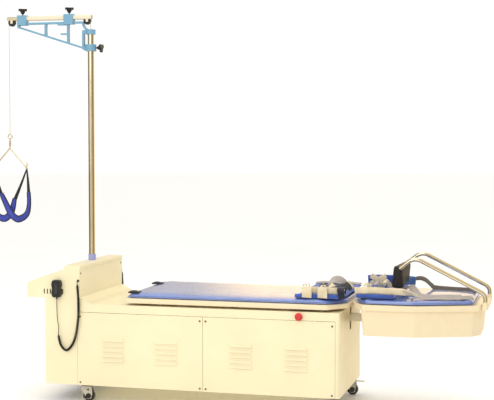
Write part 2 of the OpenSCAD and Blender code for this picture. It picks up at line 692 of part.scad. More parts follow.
// ---------- arm on the mast ----------
arm_z = mast_top + arm_rise;
tube_r = 13.5;
nose_r = 11.4;
grip = rope_r + 17.5;  // radius of the rope's centre line on a pulley
pulley_z = arm_z - grip;
front_x0 = rope_x + grip;
rear_x0 = mast_x - grip;
beam_z = mast_top + 43;
beam_x0 = -1211;
clamp_x = [-1187, -905];
web_x = mast_x - 43;
low_collar_z = mast_top - 99;
module rib(a, b, w) {
    d = unit(b - a) * w / 2;
    n = [-d.y, d.x];
    polygon([a + n - d, a - n - d, b - n + d, b + n + d]);
}
module arm_bracket() {
    depth = 22;
    arc_r = 46;
    arc_c = [web_x + arc_r - 2, beam_z];
    color(bracket_blue) difference() {
        union() {
            translate([0, depth / 2, 0]) rotate([90, 0, 0]) linear_extrude(depth) {
                rib([beam_x0, beam_z], [-884, beam_z], 11);
                rib([beam_x0, beam_z], [beam_x0, beam_z - 19], 10);
                rib([beam_x0, beam_z - 19], [web_x, low_collar_z], 10);
                rib([-1046, beam_z], [-1046, beam_z - 68], 10);
                rib([-1066, beam_z - 64], [-1046, beam_z - 64], 8);
                rib([-911, beam_z], [-911, beam_z - 110], 10);
                rib([-968, beam_z - 9], [-915, beam_z - 9], 9);
                rib([-950, beam_z - 62], [-911, beam_z - 62], 8);
                rib([web_x, mast_top - 8], [web_x, low_collar_z], 11);
                intersection() {
                    translate(arc_c) difference() {
                        circle(r = arc_r + 5);
                        circle(r = arc_r - 5);
                    }
                    translate([arc_c.x - arc_r - 6, arc_c.y - arc_r - 6]) square(arc_r + 6);
                }
                rib([-884, beam_z], [arc_c.x - arc_r, beam_z], 11);
            }
            for (x = clamp_x)
                box([x - 27, -19, beam_z - 9], [x + 27, 19, arm_z + 19]);
            translate([mast_x, 0, mast_top - 25]) cylinder(r = 26.5, h = 27);
            translate([mast_x, 0, low_collar_z - 18]) cylinder(r = 30.5, h = 37);
            for (z = [mast_top - 20, low_collar_z - 12]) box([web_x, -11, z], [mast_x, 11, z + 20]);
        }
        translate([mast_x, 0, low_collar_z - 40]) cylinder(r = mast_r + fit, h = 200);
        along_y(rear_x0, pulley_z, -7, 7, pulley_r + 1.5);
        along_x(0, arm_z, clamp_x[0] - 28, clamp_x[1] + 28, tube_r + fit);
        for (x = clamp_x) translate([x, 0, arm_z]) cylinder(r = 4 + fit, h = 30);
        along_x(0, low_collar_z, mast_x, mast_x + 40, 4 + fit);
    }
}
arm_tube_x0 = -1208;
arm_tube_x1 = mast_x + 6;
module pulley_cheeks(x, r) {
    both_sides() box([x - 7, 7.6, pulley_z - 6], [x + 7, 9.6, arm_z]);
    along_y(x, pulley_z, -9, 9, 3);
}
module arm_tube() {
    color("#f2dfc0") {
        difference() {
            union() {
                along_x(0, arm_z, arm_tube_x0, arm_tube_x1, tube_r);
                both_sides() box([rear_x0 - 7, 7.6, pulley_z - 6], [rear_x0 + 7, 9.6, arm_z]);
            }
            along_x(0, arm_z, arm_tube_x0 - eps, arm_tube_x1 + eps, nose_r + fit);
            box([rear_x0 - 26, -7.6, arm_z - 30], [arm_tube_x1 + eps, 7.6, arm_z + 2]);
        }
        along_y(rear_x0, pulley_z, -8.6, 8.6, 3);
    }
}
nose_tube_x0 = rope_x - 9;
module arm_nose() {
    color(steel) {
        difference() {
            union() {
                along_x(0, arm_z, nose_tube_x0, -1040, nose_r);
                both_sides() box([front_x0 - 7, 7.6, pulley_z - 6], [front_x0 + 7, 9.4, arm_z]);
            }
            along_x(0, arm_z, nose_tube_x0 - eps, -1039, nose_r - 2);
            box([nose_tube_x0 - eps, -7.6, arm_z - 30], [front_x0 + 26, 7.6, arm_z + 2]);
        }
        along_y(front_x0, pulley_z, -8.6, 8.6, 3);
    }
}
module pulley(x) {
    groove = 17.4;
    color(black) translate([x, 0, pulley_z]) rotate([90, 0, 0]) rotate_extrude()
        polygon([[3 + fit, -5.5], [pulley_r, -5.5], [pulley_r, -4.2], [groove, -2], [groove, 2],
            [pulley_r, 4.2], [pulley_r, 5.5], [3 + fit, 5.5]]);
}
module pulley_front() { pulley(front_x0); }
module pulley_rear() { pulley(rear_x0); }
module knob(stem) {
    // The stem runs down from z = 0, the grip stands above it
    translate([0, 0, -stem]) cylinder(r = 4, h = stem + 2);
    cylinder(r1 = 8, r2 = 15, h = 15);
    translate([0, 0, 14.9]) cylinder(r = 15, h = 13);
    for (a = [0, 120, 240]) rotate(a) translate([15, 0, 16]) cylinder(r = 11, h = 12);
}
clamp_top = arm_z + 19;
module clamp_knob(i) {
    color(black) translate([clamp_x[i], 0, clamp_top + 8]) knob(13);
}
module clamp_knob_front() { clamp_knob(0); }
module clamp_knob_rear() { clamp_knob(1); }
module swivel_knob() {
    color(black) translate([mast_x + 30.5 + 9, 0, low_collar_z]) rotate([0, 90, 0]) knob(20);
}
module rope_in_arm() {
    color("ivory") {
        along_x(0, arm_z, front_x0 + 4, rear_x0, rope_r);
        translate([rear_x0, 0, pulley_z]) rotate([90, 0, 0])
            rotate_extrude(angle = 90) translate([grip, 0]) circle(r = rope_r);
        translate([mast_x, 0, mast_top - 19.5]) cylinder(r = rope_r, h = pulley_z - mast_top + 19.5);
    }
}
rope_low = 1442;
module rope_drop() {
    color("ivory") translate([rope_x, 0, rope_low]) cylinder(r = rope_r, h = pulley_z - rope_low);
}

// ---------- spreader and sling ----------
apex_z = 1360;
hook_reach = 98;
hook_low = 1253;
module spreader() {
    color(steel) {
        // thimble and eye
        translate([rope_x, 0, rope_low - 17]) rotate([90, 0, 0]) rotate_extrude()
            translate([12, 0]) circle(r = 3.2);
        rod([rope_x, 0, rope_low - 29], [rope_x, 0, apex_z], 3.5);
        translate([rope_x, 0, apex_z]) sphere(r = 6);
        for (s = [-1, 1]) {
            tip = [rope_x + s * hook_reach, 0, hook_low];
            rod([rope_x, 0, apex_z], tip, 4);
            translate(tip) sphere(r = 4.8);
            rod(tip, tip + [s * 8, 0, 14], 3.4);
            translate(tip + [s * 8, 0, 14]) sphere(r = 4.1);
            rod(tip + [s * 8, 0, 14], tip + [0, 0, 28], 3);
        }
    }
}
// One loop of the sling: a flat padded band that hangs from both hooks, lower on one side
band_t = 9;
band_mid_y = 12;
front_loop = [[117, 1110], [118, 1040], [102, 985], [50, 958], [6, 990], [-24, 1044], [-52, 1102]];
rear_loop = [[117, 1110], [118, 1040], [102, 985], [50, 958], [8, 986], [-8, 1028], [-19, 1072]];
loop_half = [12, 13, 17, 20, 19, 17, 13];
// The path moved sideways by each point's own width, on one side of it
function side_of(path, d) =
    [for (i = [0:len(path) - 1])
        let (t = unit(path[min(i + 1, len(path) - 1)] - path[max(i - 1, 0)])) path[i] + d[i] * [-t.y, t.x]];
function reversed(list) = [for (i = [len(list) - 1:-1:0]) list[i]];
module sling_loop(side) {
    path = side > 0 ? front_loop : rear_loop;
    wide = smooth([for (i = [0:len(path) - 1]) [path[i].x, path[i].y, loop_half[i]]], 4);
    curve = [for (p = wide) [side * p.x, p.y]];
    halves = [for (p = wide) p.z];
    mid_y = -side * band_mid_y;
    translate([rope_x, mid_y + band_t / 2, 0]) rotate([90, 0, 0]) linear_extrude(band_t)
        polygon(concat(side_of(curve, halves), reversed(side_of(curve, -halves))));
    // flat straps up to the hooks
    for (k = [0, len(path) - 1]) {
        p = path[k];
        hook_side = side * (p.x > 0 ? 1 : -1);
        hull() {
            translate([rope_x + hook_side * (hook_reach + 3), 0, hook_low - 12])
                cube([7, 5, 3], center = true);
            translate([rope_x + side * p.x, mid_y, p.y - 4]) cube([2 * loop_half[k], 5, 4], center = true);
        }
    }
}
module head_sling() {
    color("#2f48a8") {
        sling_loop(1);
        sling_loop(-1);
        for (s = [-1, 1]) along_y(rope_x + s * (hook_reach + 3), hook_low - 10.5, -7, 7, 5);
    }
}

// ---------- handsets ----------
handset_z = 611;
handset_y0 = half_w + 2.5;
handset_d = 24;
key_d = 3;
module handset_solid() {
    outline = rounded([[-21, -46], [21, -46], [27, -24], [23, 2], [27, 24], [21, 46], [-21, 46], [-27, 24],
        [-23, 2], [-27, -24]], 9, 4);
    difference() {
        union() {
            translate([handset_x, handset_y0 + handset_d, handset_z]) rotate([90, 0, 0])
                linear_extrude(handset_d) polygon(outline);
            translate([handset_x, handset_y0 + 12, handset_z - 56]) cylinder(r1 = 3.5, r2 = 6, h = 12);
        }
        // pocket for the hook
        box([handset_x - 10, handset_y0 - eps, hook_z - 30], [handset_x + 10, half_w + 9, hook_z + 28.5]);
        // recess for the rocking key
        box([handset_x - 11, handset_y0 + handset_d - 4, handset_z - 30],
            [handset_x + 11, handset_y0 + handset_d + eps, handset_z + 30]);
    }
}
module key_solid() {
    y1 = handset_y0 + handset_d;
    box([handset_x - 10, y1 - 2, handset_z - 28.5], [handset_x + 10, y1 - 2 + key_d, handset_z + 28.5]);
    for (dz = [-15, 15]) along_y(handset_x, handset_z + dz, y1, y1 + 3, 8);
    along_y(handset_x, handset_z, y1 - 2.2, y1 - 1.9, 1);
}
module handset_far() { color(black) handset_solid(); }
module handset_near() { color(black) mirror([0, 1, 0]) handset_solid(); }
module handset_keys_far() { color("#4a4a50") key_solid(); }
module handset_keys_near() { color("#4a4a50") mirror([0, 1, 0]) key_solid(); }

// Route of a handset's cord, on the far side: gland, short lead, coiled stretch, lead, handset
gland = [-729, half_w + 9, 655];
lead_out = [[-729, half_w + 9.3, 655], [-729, half_w + 11.5, 654.9], [-728.7, half_w + 14.2, 651.5],
    [-728, half_w + 15, 645], [-728, half_w + 15, 636.7]];
coil_route = [[-728, half_w + 15, 636], [-722, half_w + 13, 527], [-727, half_w + 11, 446],
    [-740, half_w + 11, 366], [-762, half_w + 11, 310], [-794, half_w + 12, 281], [-825, half_w + 13, 308],
    [-839, half_w + 14, 363]];
lead_in = [[-839, half_w + 14, 364], [-837, half_w + 14, 400], [-844, half_w + 14, 455],
    [-846, half_w + 14.5, 510],
    [-846, half_w + 14.5, 554.8]];
module cord_leads() {
    sweep(smooth(lead_out, 3), cord_d / 2, 8);
    sweep(smooth(lead_in, 5), cord_d / 2, 8);
}
module cord_coil() {
    sweep(smooth(coil_route, 5), coil_d / 2, 10);
}
module handset_cord_far() { color(black) cord_leads(); }
module handset_cord_near() { color(black) mirror([0, 1, 0]) cord_leads(); }
module handset_coil_far() { color(black) cord_coil(); }
module handset_coil_near() { color(black) mirror([0, 1, 0]) cord_coil(); }
module cord_glands() {
    color(black) both_sides() {
        translate([gland.x, half_w, gland.z]) rotate([-90, 0, 0]) cylinder(r1 = 7, r2 = 4.5, h = 9);
    }
}

// ---------- emergency stop ----------
estop_x = 478;
estop_z = lift + 413;
estop_stem_r = 8;
module estop_button() {
    color("red") {
        along_y(estop_x, estop_z, -half_w - 8, -half_w + 14, estop_stem_r);
        translate([estop_x, -half_w - 5, estop_z]) rotate([90, 0, 0]) cylinder(r1 = 15, r2 = 21, h = 9);
        translate([estop_x, -half_w - 14, estop_z]) rotate([90, 0, 0]) cylinder(r1 = 21, r2 = 18, h = 8);
    }
}

// ---------- castors ----------
castor_places = [for (x = castor_x) for (s = [-1, 1]) [x, s * castor_y]];
axle_r = 4;
wheel_w = 25;
cheek_y = wheel_w / 2 + 1.5; // inner side of a fork's side plates
cheek_t = 2.5;
hood_in = wheel_r + 5;
hood_out = wheel_r + 7.5;
fork_top = 82;
module castor_fork(i) {
    p = castor_places[i];
    hub = p.x + trail;
    cheek = rounded([[hub - 6, wheel_r - 18], [hub + 15, wheel_r - 14], [hub + 21, wheel_r + 16],
        [hub + 16, fork_top], [p.x - 14, fork_top], [p.x - 12, wheel_r + 34]], 6, 4);
    color("#d9cdb8") translate([0, p.y, 0]) {
        both_sides() slab_y(cheek, cheek_y, cheek_y + cheek_t);
        box([p.x - 14, -cheek_y - 1, fork_top - 4], [hub + 15, cheek_y + 1, fork_top - 0.5]);
        // hood over the tyre
        slab_y(concat([for (a = [92:12:212]) [hub, wheel_r] + hood_out * [cos(a), sin(a)]],
            [for (a = [212:-12:92]) [hub, wheel_r] + hood_in * [cos(a), sin(a)]]), -cheek_y - 1, cheek_y + 1);
        // swivel head and stem
        translate([p.x, 0, fork_top - 2]) cylinder(r = 13, h = lift - plate_t - 0.5 - fork_top + 2);
        translate([p.x, 0, fork_top]) cylinder(r = stem_r - fit, h = lift + 12 - fork_top);
        // axle with its caps, and the bolt above it
        along_y(hub, wheel_r, -cheek_y - 1, cheek_y + 1, axle_r);
        for (s = [-1, 1]) {
            along_y(hub, wheel_r, s > 0 ? cheek_y + cheek_t - 0.5 : -cheek_y - cheek_t - 4,
                s > 0 ? cheek_y + cheek_t + 4 : -cheek_y - cheek_t + 0.5, 14);
            along_y(hub - 2, wheel_r + 33, s > 0 ? cheek_y + cheek_t - 0.5 : -cheek_y - cheek_t - 2,
                s > 0 ? cheek_y + cheek_t + 2 : -cheek_y - cheek_t + 0.5, 5);
        }
        // brake pedal at the foot end
        if (i > 1) box([hub + 10, -9, fork_top - 7], [hub + 66, 9, fork_top - 3]);
    }
}
module castor_wheel(i) {
    p = castor_places[i];
    color("#2c2c2e") translate([p.x + trail, p.y, wheel_r]) rotate([90, 0, 0]) rotate_extrude()
        polygon([[axle_r + fit, -wheel_w / 2], [20, -wheel_w / 2], [22, -wheel_w / 2 + 2], [24, -wheel_w / 2],
            [wheel_r - 2, -wheel_w / 2], [wheel_r, -wheel_w / 2 + 4], [wheel_r, wheel_w / 2 - 4],
            [wheel_r - 2, wheel_w / 2], [24, wheel_w / 2], [22, wheel_w / 2 - 2], [20, wheel_w / 2],
            [axle_r + fit, wheel_w / 2]]);
}

base_frame();
top_cover();
head_housing();
foot_end_cover();
side_panels();
console_cap();
console_front_panel();
control_panel();
mast_socket();
mast();
cord_glands();
winch_motor();
winch_drum();
rope_in_mast();
deck_guide_rails();
actuators();
leg_pivot();
power_unit();
panel_screws();
estop_button();
handset_near();
handset_far();
handset_keys_near();
handset_keys_far();
handset_cord_near();
handset_coil_near();
handset_cord_far();
handset_coil_far();
deck_tray();
deck_cushion();
deck_bearing_blocks();
deck_actuator_rod();
thoracic_belt();
leg_tray();
leg_cushion();
leg_arm();
tilt_rod();
pelvic_belt();
leg_rest_frame();
leg_rest_pad();
arm_bracket();
arm_tube();
arm_nose();
pulley_front();
pulley_rear();
clamp_knob_front();
clamp_knob_rear();
swivel_knob();
rope_in_arm();
rope_drop();
spreader();
head_sling();
castor_fork(0);  // castor_fork_1
castor_fork(1);  // castor_fork_2
castor_fork(2);  // castor_fork_3
castor_fork(3);  // castor_fork_4
castor_wheel(0);  // castor_wheel_1
castor_wheel(1);  // castor_wheel_2
castor_wheel(2);  // castor_wheel_3
castor_wheel(3);  // castor_wheel_4
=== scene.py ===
"""Looks for the traction bed: materials, soft goods, cords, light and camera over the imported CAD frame.

Metres. +X runs towards the foot end, +Y to the far side, +Z up, and the floor is z = 0.
"""
import json
import math
import random

import bmesh
import bpy
from mathutils import Matrix, Vector


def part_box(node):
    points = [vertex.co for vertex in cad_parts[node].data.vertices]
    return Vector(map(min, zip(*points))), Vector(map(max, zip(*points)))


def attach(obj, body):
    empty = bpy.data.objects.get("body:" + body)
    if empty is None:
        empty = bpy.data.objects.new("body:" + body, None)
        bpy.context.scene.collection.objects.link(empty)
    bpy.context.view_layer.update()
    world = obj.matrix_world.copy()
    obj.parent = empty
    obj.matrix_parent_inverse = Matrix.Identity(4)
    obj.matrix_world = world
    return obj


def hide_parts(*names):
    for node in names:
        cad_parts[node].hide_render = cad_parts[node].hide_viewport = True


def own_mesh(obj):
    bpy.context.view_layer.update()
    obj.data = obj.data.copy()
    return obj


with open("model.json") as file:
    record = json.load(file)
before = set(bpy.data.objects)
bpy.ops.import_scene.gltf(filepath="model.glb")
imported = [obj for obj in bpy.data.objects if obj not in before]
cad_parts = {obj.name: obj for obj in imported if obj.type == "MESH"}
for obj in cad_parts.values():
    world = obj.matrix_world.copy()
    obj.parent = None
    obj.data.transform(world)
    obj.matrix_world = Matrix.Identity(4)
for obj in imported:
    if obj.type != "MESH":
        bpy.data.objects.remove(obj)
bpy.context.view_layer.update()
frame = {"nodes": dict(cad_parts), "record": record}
nodes = frame["nodes"]
random.seed(7)

# -------- sizes shared with the CAD source
HALF_W = 0.3185
DECK_X, DECK_L, DECK_TOP = -0.472, 1.192, 0.570
LEG_X, LEG_TOP, LEG_WIDE_X = 0.739, 0.579, 1.060
CUSHION_H = 0.028
DECK_SOFT, LEG_SOFT = 0.5983, 0.6073
ROPE_X, PULLEY_Z = -1.2715, 2.067
ROPE_R, ROPE_LOW = 0.002, 1.442
HOOK_REACH, HOOK_LOW = 0.098, 1.253

# -------- camera, light and floor
CAMERA_AT = Vector((1.7904, -6.294, 1.4013))
CAMERA_YAW, CAMERA_PITCH = math.radians(14.87), math.radians(2.804)
CAMERA_LENS = 88.08
FLOOR_RADIUS = 45.0


def make_camera():
    data = bpy.data.cameras.new("camera")
    data.lens = CAMERA_LENS
    data.sensor_width = 36.0
    cam = bpy.data.objects.new("camera", data)
    bpy.context.scene.collection.objects.link(cam)
    forward = Vector((-math.sin(CAMERA_YAW) * math.cos(CAMERA_PITCH),
                      math.cos(CAMERA_YAW) * math.cos(CAMERA_PITCH), -math.sin(CAMERA_PITCH)))
    cam.rotation_mode = "QUATERNION"
    cam.location = CAMERA_AT
    cam.rotation_quaternion = forward.to_track_quat("-Z", "Y")
    bpy.context.scene.camera = cam


def area_light(name, at, towards, size, power, colour=(1, 1, 1), length=0.0):
    data = bpy.data.lights.new(name, "AREA")
    data.shape = "RECTANGLE"
    data.size = length or size
    data.size_y = size
    data.energy = power
    data.color = colour
    light = bpy.data.objects.new(name, data)
    bpy.context.scene.collection.objects.link(light)
    light.location = at
    light.rotation_mode = "QUATERNION"
    light.rotation_quaternion = (Vector(towards) - Vector(at)).to_track_quat("-Z", "Y")


# the mirrored room: brightness by direction, from the head end (0) to the foot end (1)
ROOM_BANDS = ((0.0, (0.20, 0.16, 0.10)), (0.16, (0.30, 0.25, 0.17)), (0.27, (0.55, 0.48, 0.36)),
              (0.33, (1.3, 1.25, 1.15)), (0.43, (1.3, 1.25, 1.15)), (0.47, (0.30, 0.25, 0.16)),
              (0.53, (0.42, 0.36, 0.25)), (0.62, (0.86, 0.77, 0.58)), (0.82, (0.62, 0.54, 0.38)),
              (1.0, (0.28, 0.23, 0.15)))
ROOM_HAZE = ((0.29, (0.50, 0.46, 0.48)), (0.352, (0.72, 0.65, 0.54)), (0.378, (1.7, 1.28, 0.76)),
             (0.62, (1.2, 1.0, 0.72)))


def fill_ramp(ramp, stops):
    """Sets a colour ramp's stops, given from low to high."""
    while len(ramp.elements) < len(stops):
        ramp.elements.new(0.5)
    for element, (at, colour) in zip(ramp.elements, stops):
        element.position = at
        element.color = (*colour, 1)


def make_light():
    """White room. What shines mirrors an invented room of light and dark bands instead."""
    world = bpy.data.worlds.new("studio")
    bpy.context.scene.world = world
    world.use_nodes = True
    tree = world.node_tree
    back = tree.nodes["Background"]
    back.inputs["Color"].default_value = (1.0, 0.99, 0.97, 1)
    back.inputs["Strength"].default_value = 1.0
    coords = tree.nodes.new("ShaderNodeTexCoord")
    axes = tree.nodes.new("ShaderNodeSeparateXYZ")
    across = tree.nodes.new("ShaderNodeMapRange")
    across.inputs["From Min"].default_value = -1.0
    bands = tree.nodes.new("ShaderNodeValToRGB")
    fill_ramp(bands.color_ramp, ROOM_BANDS)
    behind = tree.nodes.new("ShaderNodeMapRange")
    behind.inputs["From Min"].default_value = 0.25
    behind.inputs["From Max"].default_value = 0.7
    room = tree.nodes.new("ShaderNodeMix")
    room.data_type = "RGBA"
    # behind the object the mirrored room is warm and bright, and dimmer towards the head end
    haze = tree.nodes.new("ShaderNodeValToRGB")
    fill_ramp(haze.color_ramp, ROOM_HAZE)
    rays = tree.nodes.new("ShaderNodeLightPath")
    seen = tree.nodes.new("ShaderNodeMix")
    seen.data_type = "RGBA"
    seen.inputs[6].default_value = (1.045, 1.035, 1.015, 1)
    for a, b in ((coords.outputs["Generated"], axes.inputs[0]), (axes.outputs["X"], across.inputs["Value"]),
                 (across.outputs["Result"], bands.inputs["Fac"]), (axes.outputs["Y"], behind.inputs["Value"]),
                 (behind.outputs["Result"], room.inputs[0]), (bands.outputs["Color"], room.inputs[6]),
                 (across.outputs["Result"], haze.inputs["Fac"]), (haze.outputs["Color"], room.inputs[7]),
                 (rays.outputs["Is Glossy Ray"], seen.inputs[0]), (room.outputs[2], seen.inputs[7]),
                 (seen.outputs[2], back.inputs["Color"])):
        tree.links.new(a, b)
    area_light("key", (-0.4, -4.6, 3.2), (0.1, 0, 0.45), 2.6, 46, (1.0, 0.985, 0.95))
    area_light("fill", (-3.6, -3.2, 2.6), (-0.4, 0, 0.7), 3.0, 14)
    area_light("top", (0.2, 0.4, 4.6), (0, 0, 0.5), 3.0, 44)
    area_light("under", (-0.08, 0.0, 0.088), (-0.08, 0.0, 0.0), 0.5, 0.8, (1.0, 0.86, 0.46), 1.3)
    bpy.context.scene.view_settings.view_transform = "Standard"
    bpy.context.scene.view_settings.exposure = 0.0


# -------- materials
class Shader:
    """A node material with short calls for the textures that feed it."""

    def __init__(self, name, colour, roughness, metallic=0.0, **sockets):
        self.mat = bpy.data.materials.new(name)
        self.mat.use_nodes = True
        self.mat.diffuse_color = (*colour, 1)
        self.tree = self.mat.node_tree
        self.out = self.tree.nodes["Principled BSDF"]
        self.out.inputs["Base Color"].default_value = (*colour, 1)
        self.out.inputs["Roughness"].default_value = roughness
        self.out.inputs["Metallic"].default_value = metallic
        for socket, value in sockets.items():
            self.out.inputs[socket.replace("_", " ")].default_value = value
        self.coords = self.node("ShaderNodeTexCoord")
        self.last_bump = None

    def node(self, kind, **values):
        n = self.tree.nodes.new(kind)
        for key, value in values.items():
            setattr(n, key, value)
        return n

    def link(self, a, b):
        self.tree.links.new(a, b)

    def place(self, space, scale):
        m = self.node("ShaderNodeMapping")
        m.inputs["Scale"].default_value = scale if hasattr(scale, "__len__") else (scale,) * 3
        self.link(self.coords.outputs[space], m.inputs["Vector"])
        return m.outputs["Vector"]

    def noise(self, scale, detail=3.0, rough=0.5, space="Object"):
        n = self.node("ShaderNodeTexNoise")
        n.inputs["Scale"].default_value = 1.0
        n.inputs["Detail"].default_value = detail
        n.inputs["Roughness"].default_value = rough
        self.link(self.place(space, scale), n.inputs["Vector"])
        return n.outputs["Fac"]

    def cells(self, scale, feature="F1", space="Object"):
        n = self.node("ShaderNodeTexVoronoi", feature=feature)
        n.inputs["Scale"].default_value = 1.0
        self.link(self.place(space, scale), n.inputs["Vector"])
        return n.outputs["Distance"]

    def wave(self, scale, direction="X", distortion=0.0, space="Object"):
        n = self.node("ShaderNodeTexWave", bands_direction=direction)
        n.inputs["Scale"].default_value = 1.0
        n.inputs["Distortion"].default_value = distortion
        self.link(self.place(space, scale), n.inputs["Vector"])
        return n.outputs["Fac"]

    def ramp(self, fac, low, high, at=(0.35, 0.65)):
        n = self.node("ShaderNodeValToRGB")
        n.color_ramp.elements[0].position, n.color_ramp.elements[1].position = at
        n.color_ramp.elements[0].color = (*low, 1) if hasattr(low, "__len__") else (low,) * 3 + (1,)
        n.color_ramp.elements[1].color = (*high, 1) if hasattr(high, "__len__") else (high,) * 3 + (1,)
        self.link(fac, n.inputs["Fac"])
        return n.outputs["Color"]

    def mixed(self, a, b, fac, blend="MIX"):
        n = self.node("ShaderNodeMix", data_type="RGBA", blend_type=blend)
        for socket, value in ((n.inputs[6], a), (n.inputs[7], b)):
            if hasattr(value, "is_linked"):
                self.link(value, socket)
            else:
                socket.default_value = (*value, 1)
        if hasattr(fac, "is_linked"):
            self.link(fac, n.inputs[0])
        else:
            n.inputs[0].default_value = fac
        return n.outputs[2]

    def colour(self, output):
        self.link(output, self.out.inputs["Base Color"])
        return self

    def rough(self, fac, low, high, at=(0.35, 0.65)):
        self.link(self.ramp(fac, low, high, at), self.out.inputs["Roughness"])
        return self

    def bump(self, fac, distance, strength=1.0):
        n = self.node("ShaderNodeBump")
        n.inputs["Distance"].default_value = distance
        n.inputs["Strength"].default_value = strength
        self.link(fac, n.inputs["Height"])
        if self.last_bump is not None:
            self.link(self.last_bump, n.inputs["Normal"])
        self.last_bump = n.outputs["Normal"]
        self.link(self.last_bump, self.out.inputs["Normal"])
        return self


def tint(colour, k):
    return tuple(min(1.0, c * k) for c in colour)


def painted(name, colour, roughness=0.38, dust=0.94):
    """Powder-coated steel: fine orange peel, cloudy tone, a little scuffing."""
    s = Shader(name, colour, roughness, Coat_Weight=0.12, Coat_Roughness=0.25)
    cloud = s.noise(5.0, 4.0)
    scuff = s.noise((90, 90, 14), 6.0, 0.7)
    base = s.mixed(tint(colour, dust), colour, s.ramp(cloud, 0.0, 1.0, (0.3, 0.7)))
    s.colour(s.mixed(base, tint(colour, 0.93), s.ramp(scuff, 0.0, 0.2, (0.70, 0.82))))
    s.rough(s.noise(30.0, 4.0), roughness - 0.06, roughness + 0.1)
    return s.bump(s.noise(420.0, 2.0), 0.00022, 0.35).bump(s.noise(38.0, 2.0), 0.0005, 0.2)


def bare_metal(name, colour, roughness=0.16, drawn=(700.0, 700.0, 6.0)):
    """Polished or plated metal: very fine drawn lines and a faint cloudiness in its shine."""
    s = Shader(name, colour, roughness, 1.0)
    s.colour(s.mixed(tint(colour, 0.9), colour, s.ramp(s.noise(7.0, 3.0), 0.0, 1.0, (0.3, 0.7))))
    s.rough(s.noise(11.0, 4.0), roughness - 0.03, roughness + 0.07)
    return s.bump(s.noise(drawn, 2.0), 0.000004, 0.08)


def moulded(name, colour, roughness=0.45, grain=900.0, cloud=(0.85, 1.12)):
    """Moulded plastic with a fine spark-eroded grain."""
    s = Shader(name, colour, roughness)
    s.colour(s.mixed(tint(colour, cloud[0]), tint(colour, cloud[1]), s.ramp(s.noise(26.0, 4.0), 0.0, 1.0)))
    s.rough(s.noise(70.0, 5.0), roughness - 0.08, roughness + 0.12)
    return s.bump(s.noise(grain, 3.0), 0.00018, 0.5)


def vinyl(name, colour, roughness=0.42, gloss=1.0):
    """Leathercloth: pebbled grain, slow waviness in its tone, a wiped gloss that shows at a low angle."""
    s = Shader(name, colour, roughness, Coat_Weight=gloss, Coat_Roughness=0.05, Coat_IOR=1.65)
    grain = s.cells(480.0, "DISTANCE_TO_EDGE")
    tone = s.mixed(tint(colour, 0.86), tint(colour, 1.1), s.ramp(s.noise(6.0, 5.0), 0.0, 1.0))
    s.colour(s.mixed(tint(colour, 0.7), tone, s.ramp(grain, 0.2, 1.0, (0.0, 0.14))))
    s.rough(s.noise(18.0, 4.0), roughness - 0.08, roughness + 0.1)
    return s.bump(s.ramp(grain, 0.0, 1.0, (0.0, 0.2)), 0.0003, 0.3).bump(s.noise(14.0, 3.0), 0.0012, 0.1)


def cloth(name, colour, thread=1300.0, roughness=0.85):
    """Close plain weave, read from position, so it needs no UVs."""
    s = Shader(name, colour, roughness, Sheen_Weight=0.35, Sheen_Roughness=0.5)
    warp = s.wave((thread, thread * 0.15, thread * 0.15), "X", 1.2)
    weft = s.wave((thread * 0.15, thread, thread), "Y", 1.2)
    weave = s.mixed(warp, weft, 0.5)
    tone = s.mixed(tint(colour, 0.78), tint(colour, 1.18), s.ramp(s.noise(9.0, 5.0), 0.0, 1.0))
    s.colour(s.mixed(tint(colour, 0.62), tone, s.ramp(weave, 0.35, 1.0, (0.2, 0.6))))
    return s.bump(weave, 0.0004, 0.6).bump(s.noise(60.0, 4.0), 0.0012, 0.4)


def webbing(name, colour, roughness=0.8):
    """Woven strap: ribs across it and fine cords along it, on the strap's own UVs in metres."""
    s = Shader(name, colour, roughness, Sheen_Weight=0.25, Sheen_Roughness=0.5)
    ribs = s.wave((330.0, 0, 0), "X", 0.8, "UV")
    cords = s.wave((0, 230.0, 0), "Y", 0.5, "UV")
    tone = s.mixed(tint(colour, 0.84), tint(colour, 1.08), s.ramp(s.noise(16.0, 5.0), 0.0, 1.0))
    weave = s.mixed(tint(colour, 0.66), tone, s.ramp(s.mixed(ribs, cords, 0.4), 0.25, 1.0, (0.15, 0.6)))
    s.colour(weave)
    return s.bump(s.mixed(ribs, cords, 0.4), 0.0006, 0.7)


def braided(name, colour, pitch=420.0):
    s = Shader(name, colour, 0.8, Sheen_Weight=0.2)
    a = s.wave((0, 0, pitch), "Z", 4.0)
    s.colour(s.mixed(tint(colour, 0.7), colour, s.ramp(a, 0.0, 1.0, (0.2, 0.6))))
    return s.bump(a, 0.0005, 0.8)


def rubber(name, colour, roughness=0.55):
    s = Shader(name, colour, roughness)
    s.colour(s.mixed(tint(colour, 0.8), tint(colour, 1.9), s.ramp(s.noise(120.0, 5.0), 0.0, 1.0,
                                                                  (0.45, 0.8))))
    s.rough(s.noise(60.0, 3.0), roughness - 0.1, roughness + 0.15)
    return s.bump(s.noise(700.0, 2.0), 0.0002, 0.5)


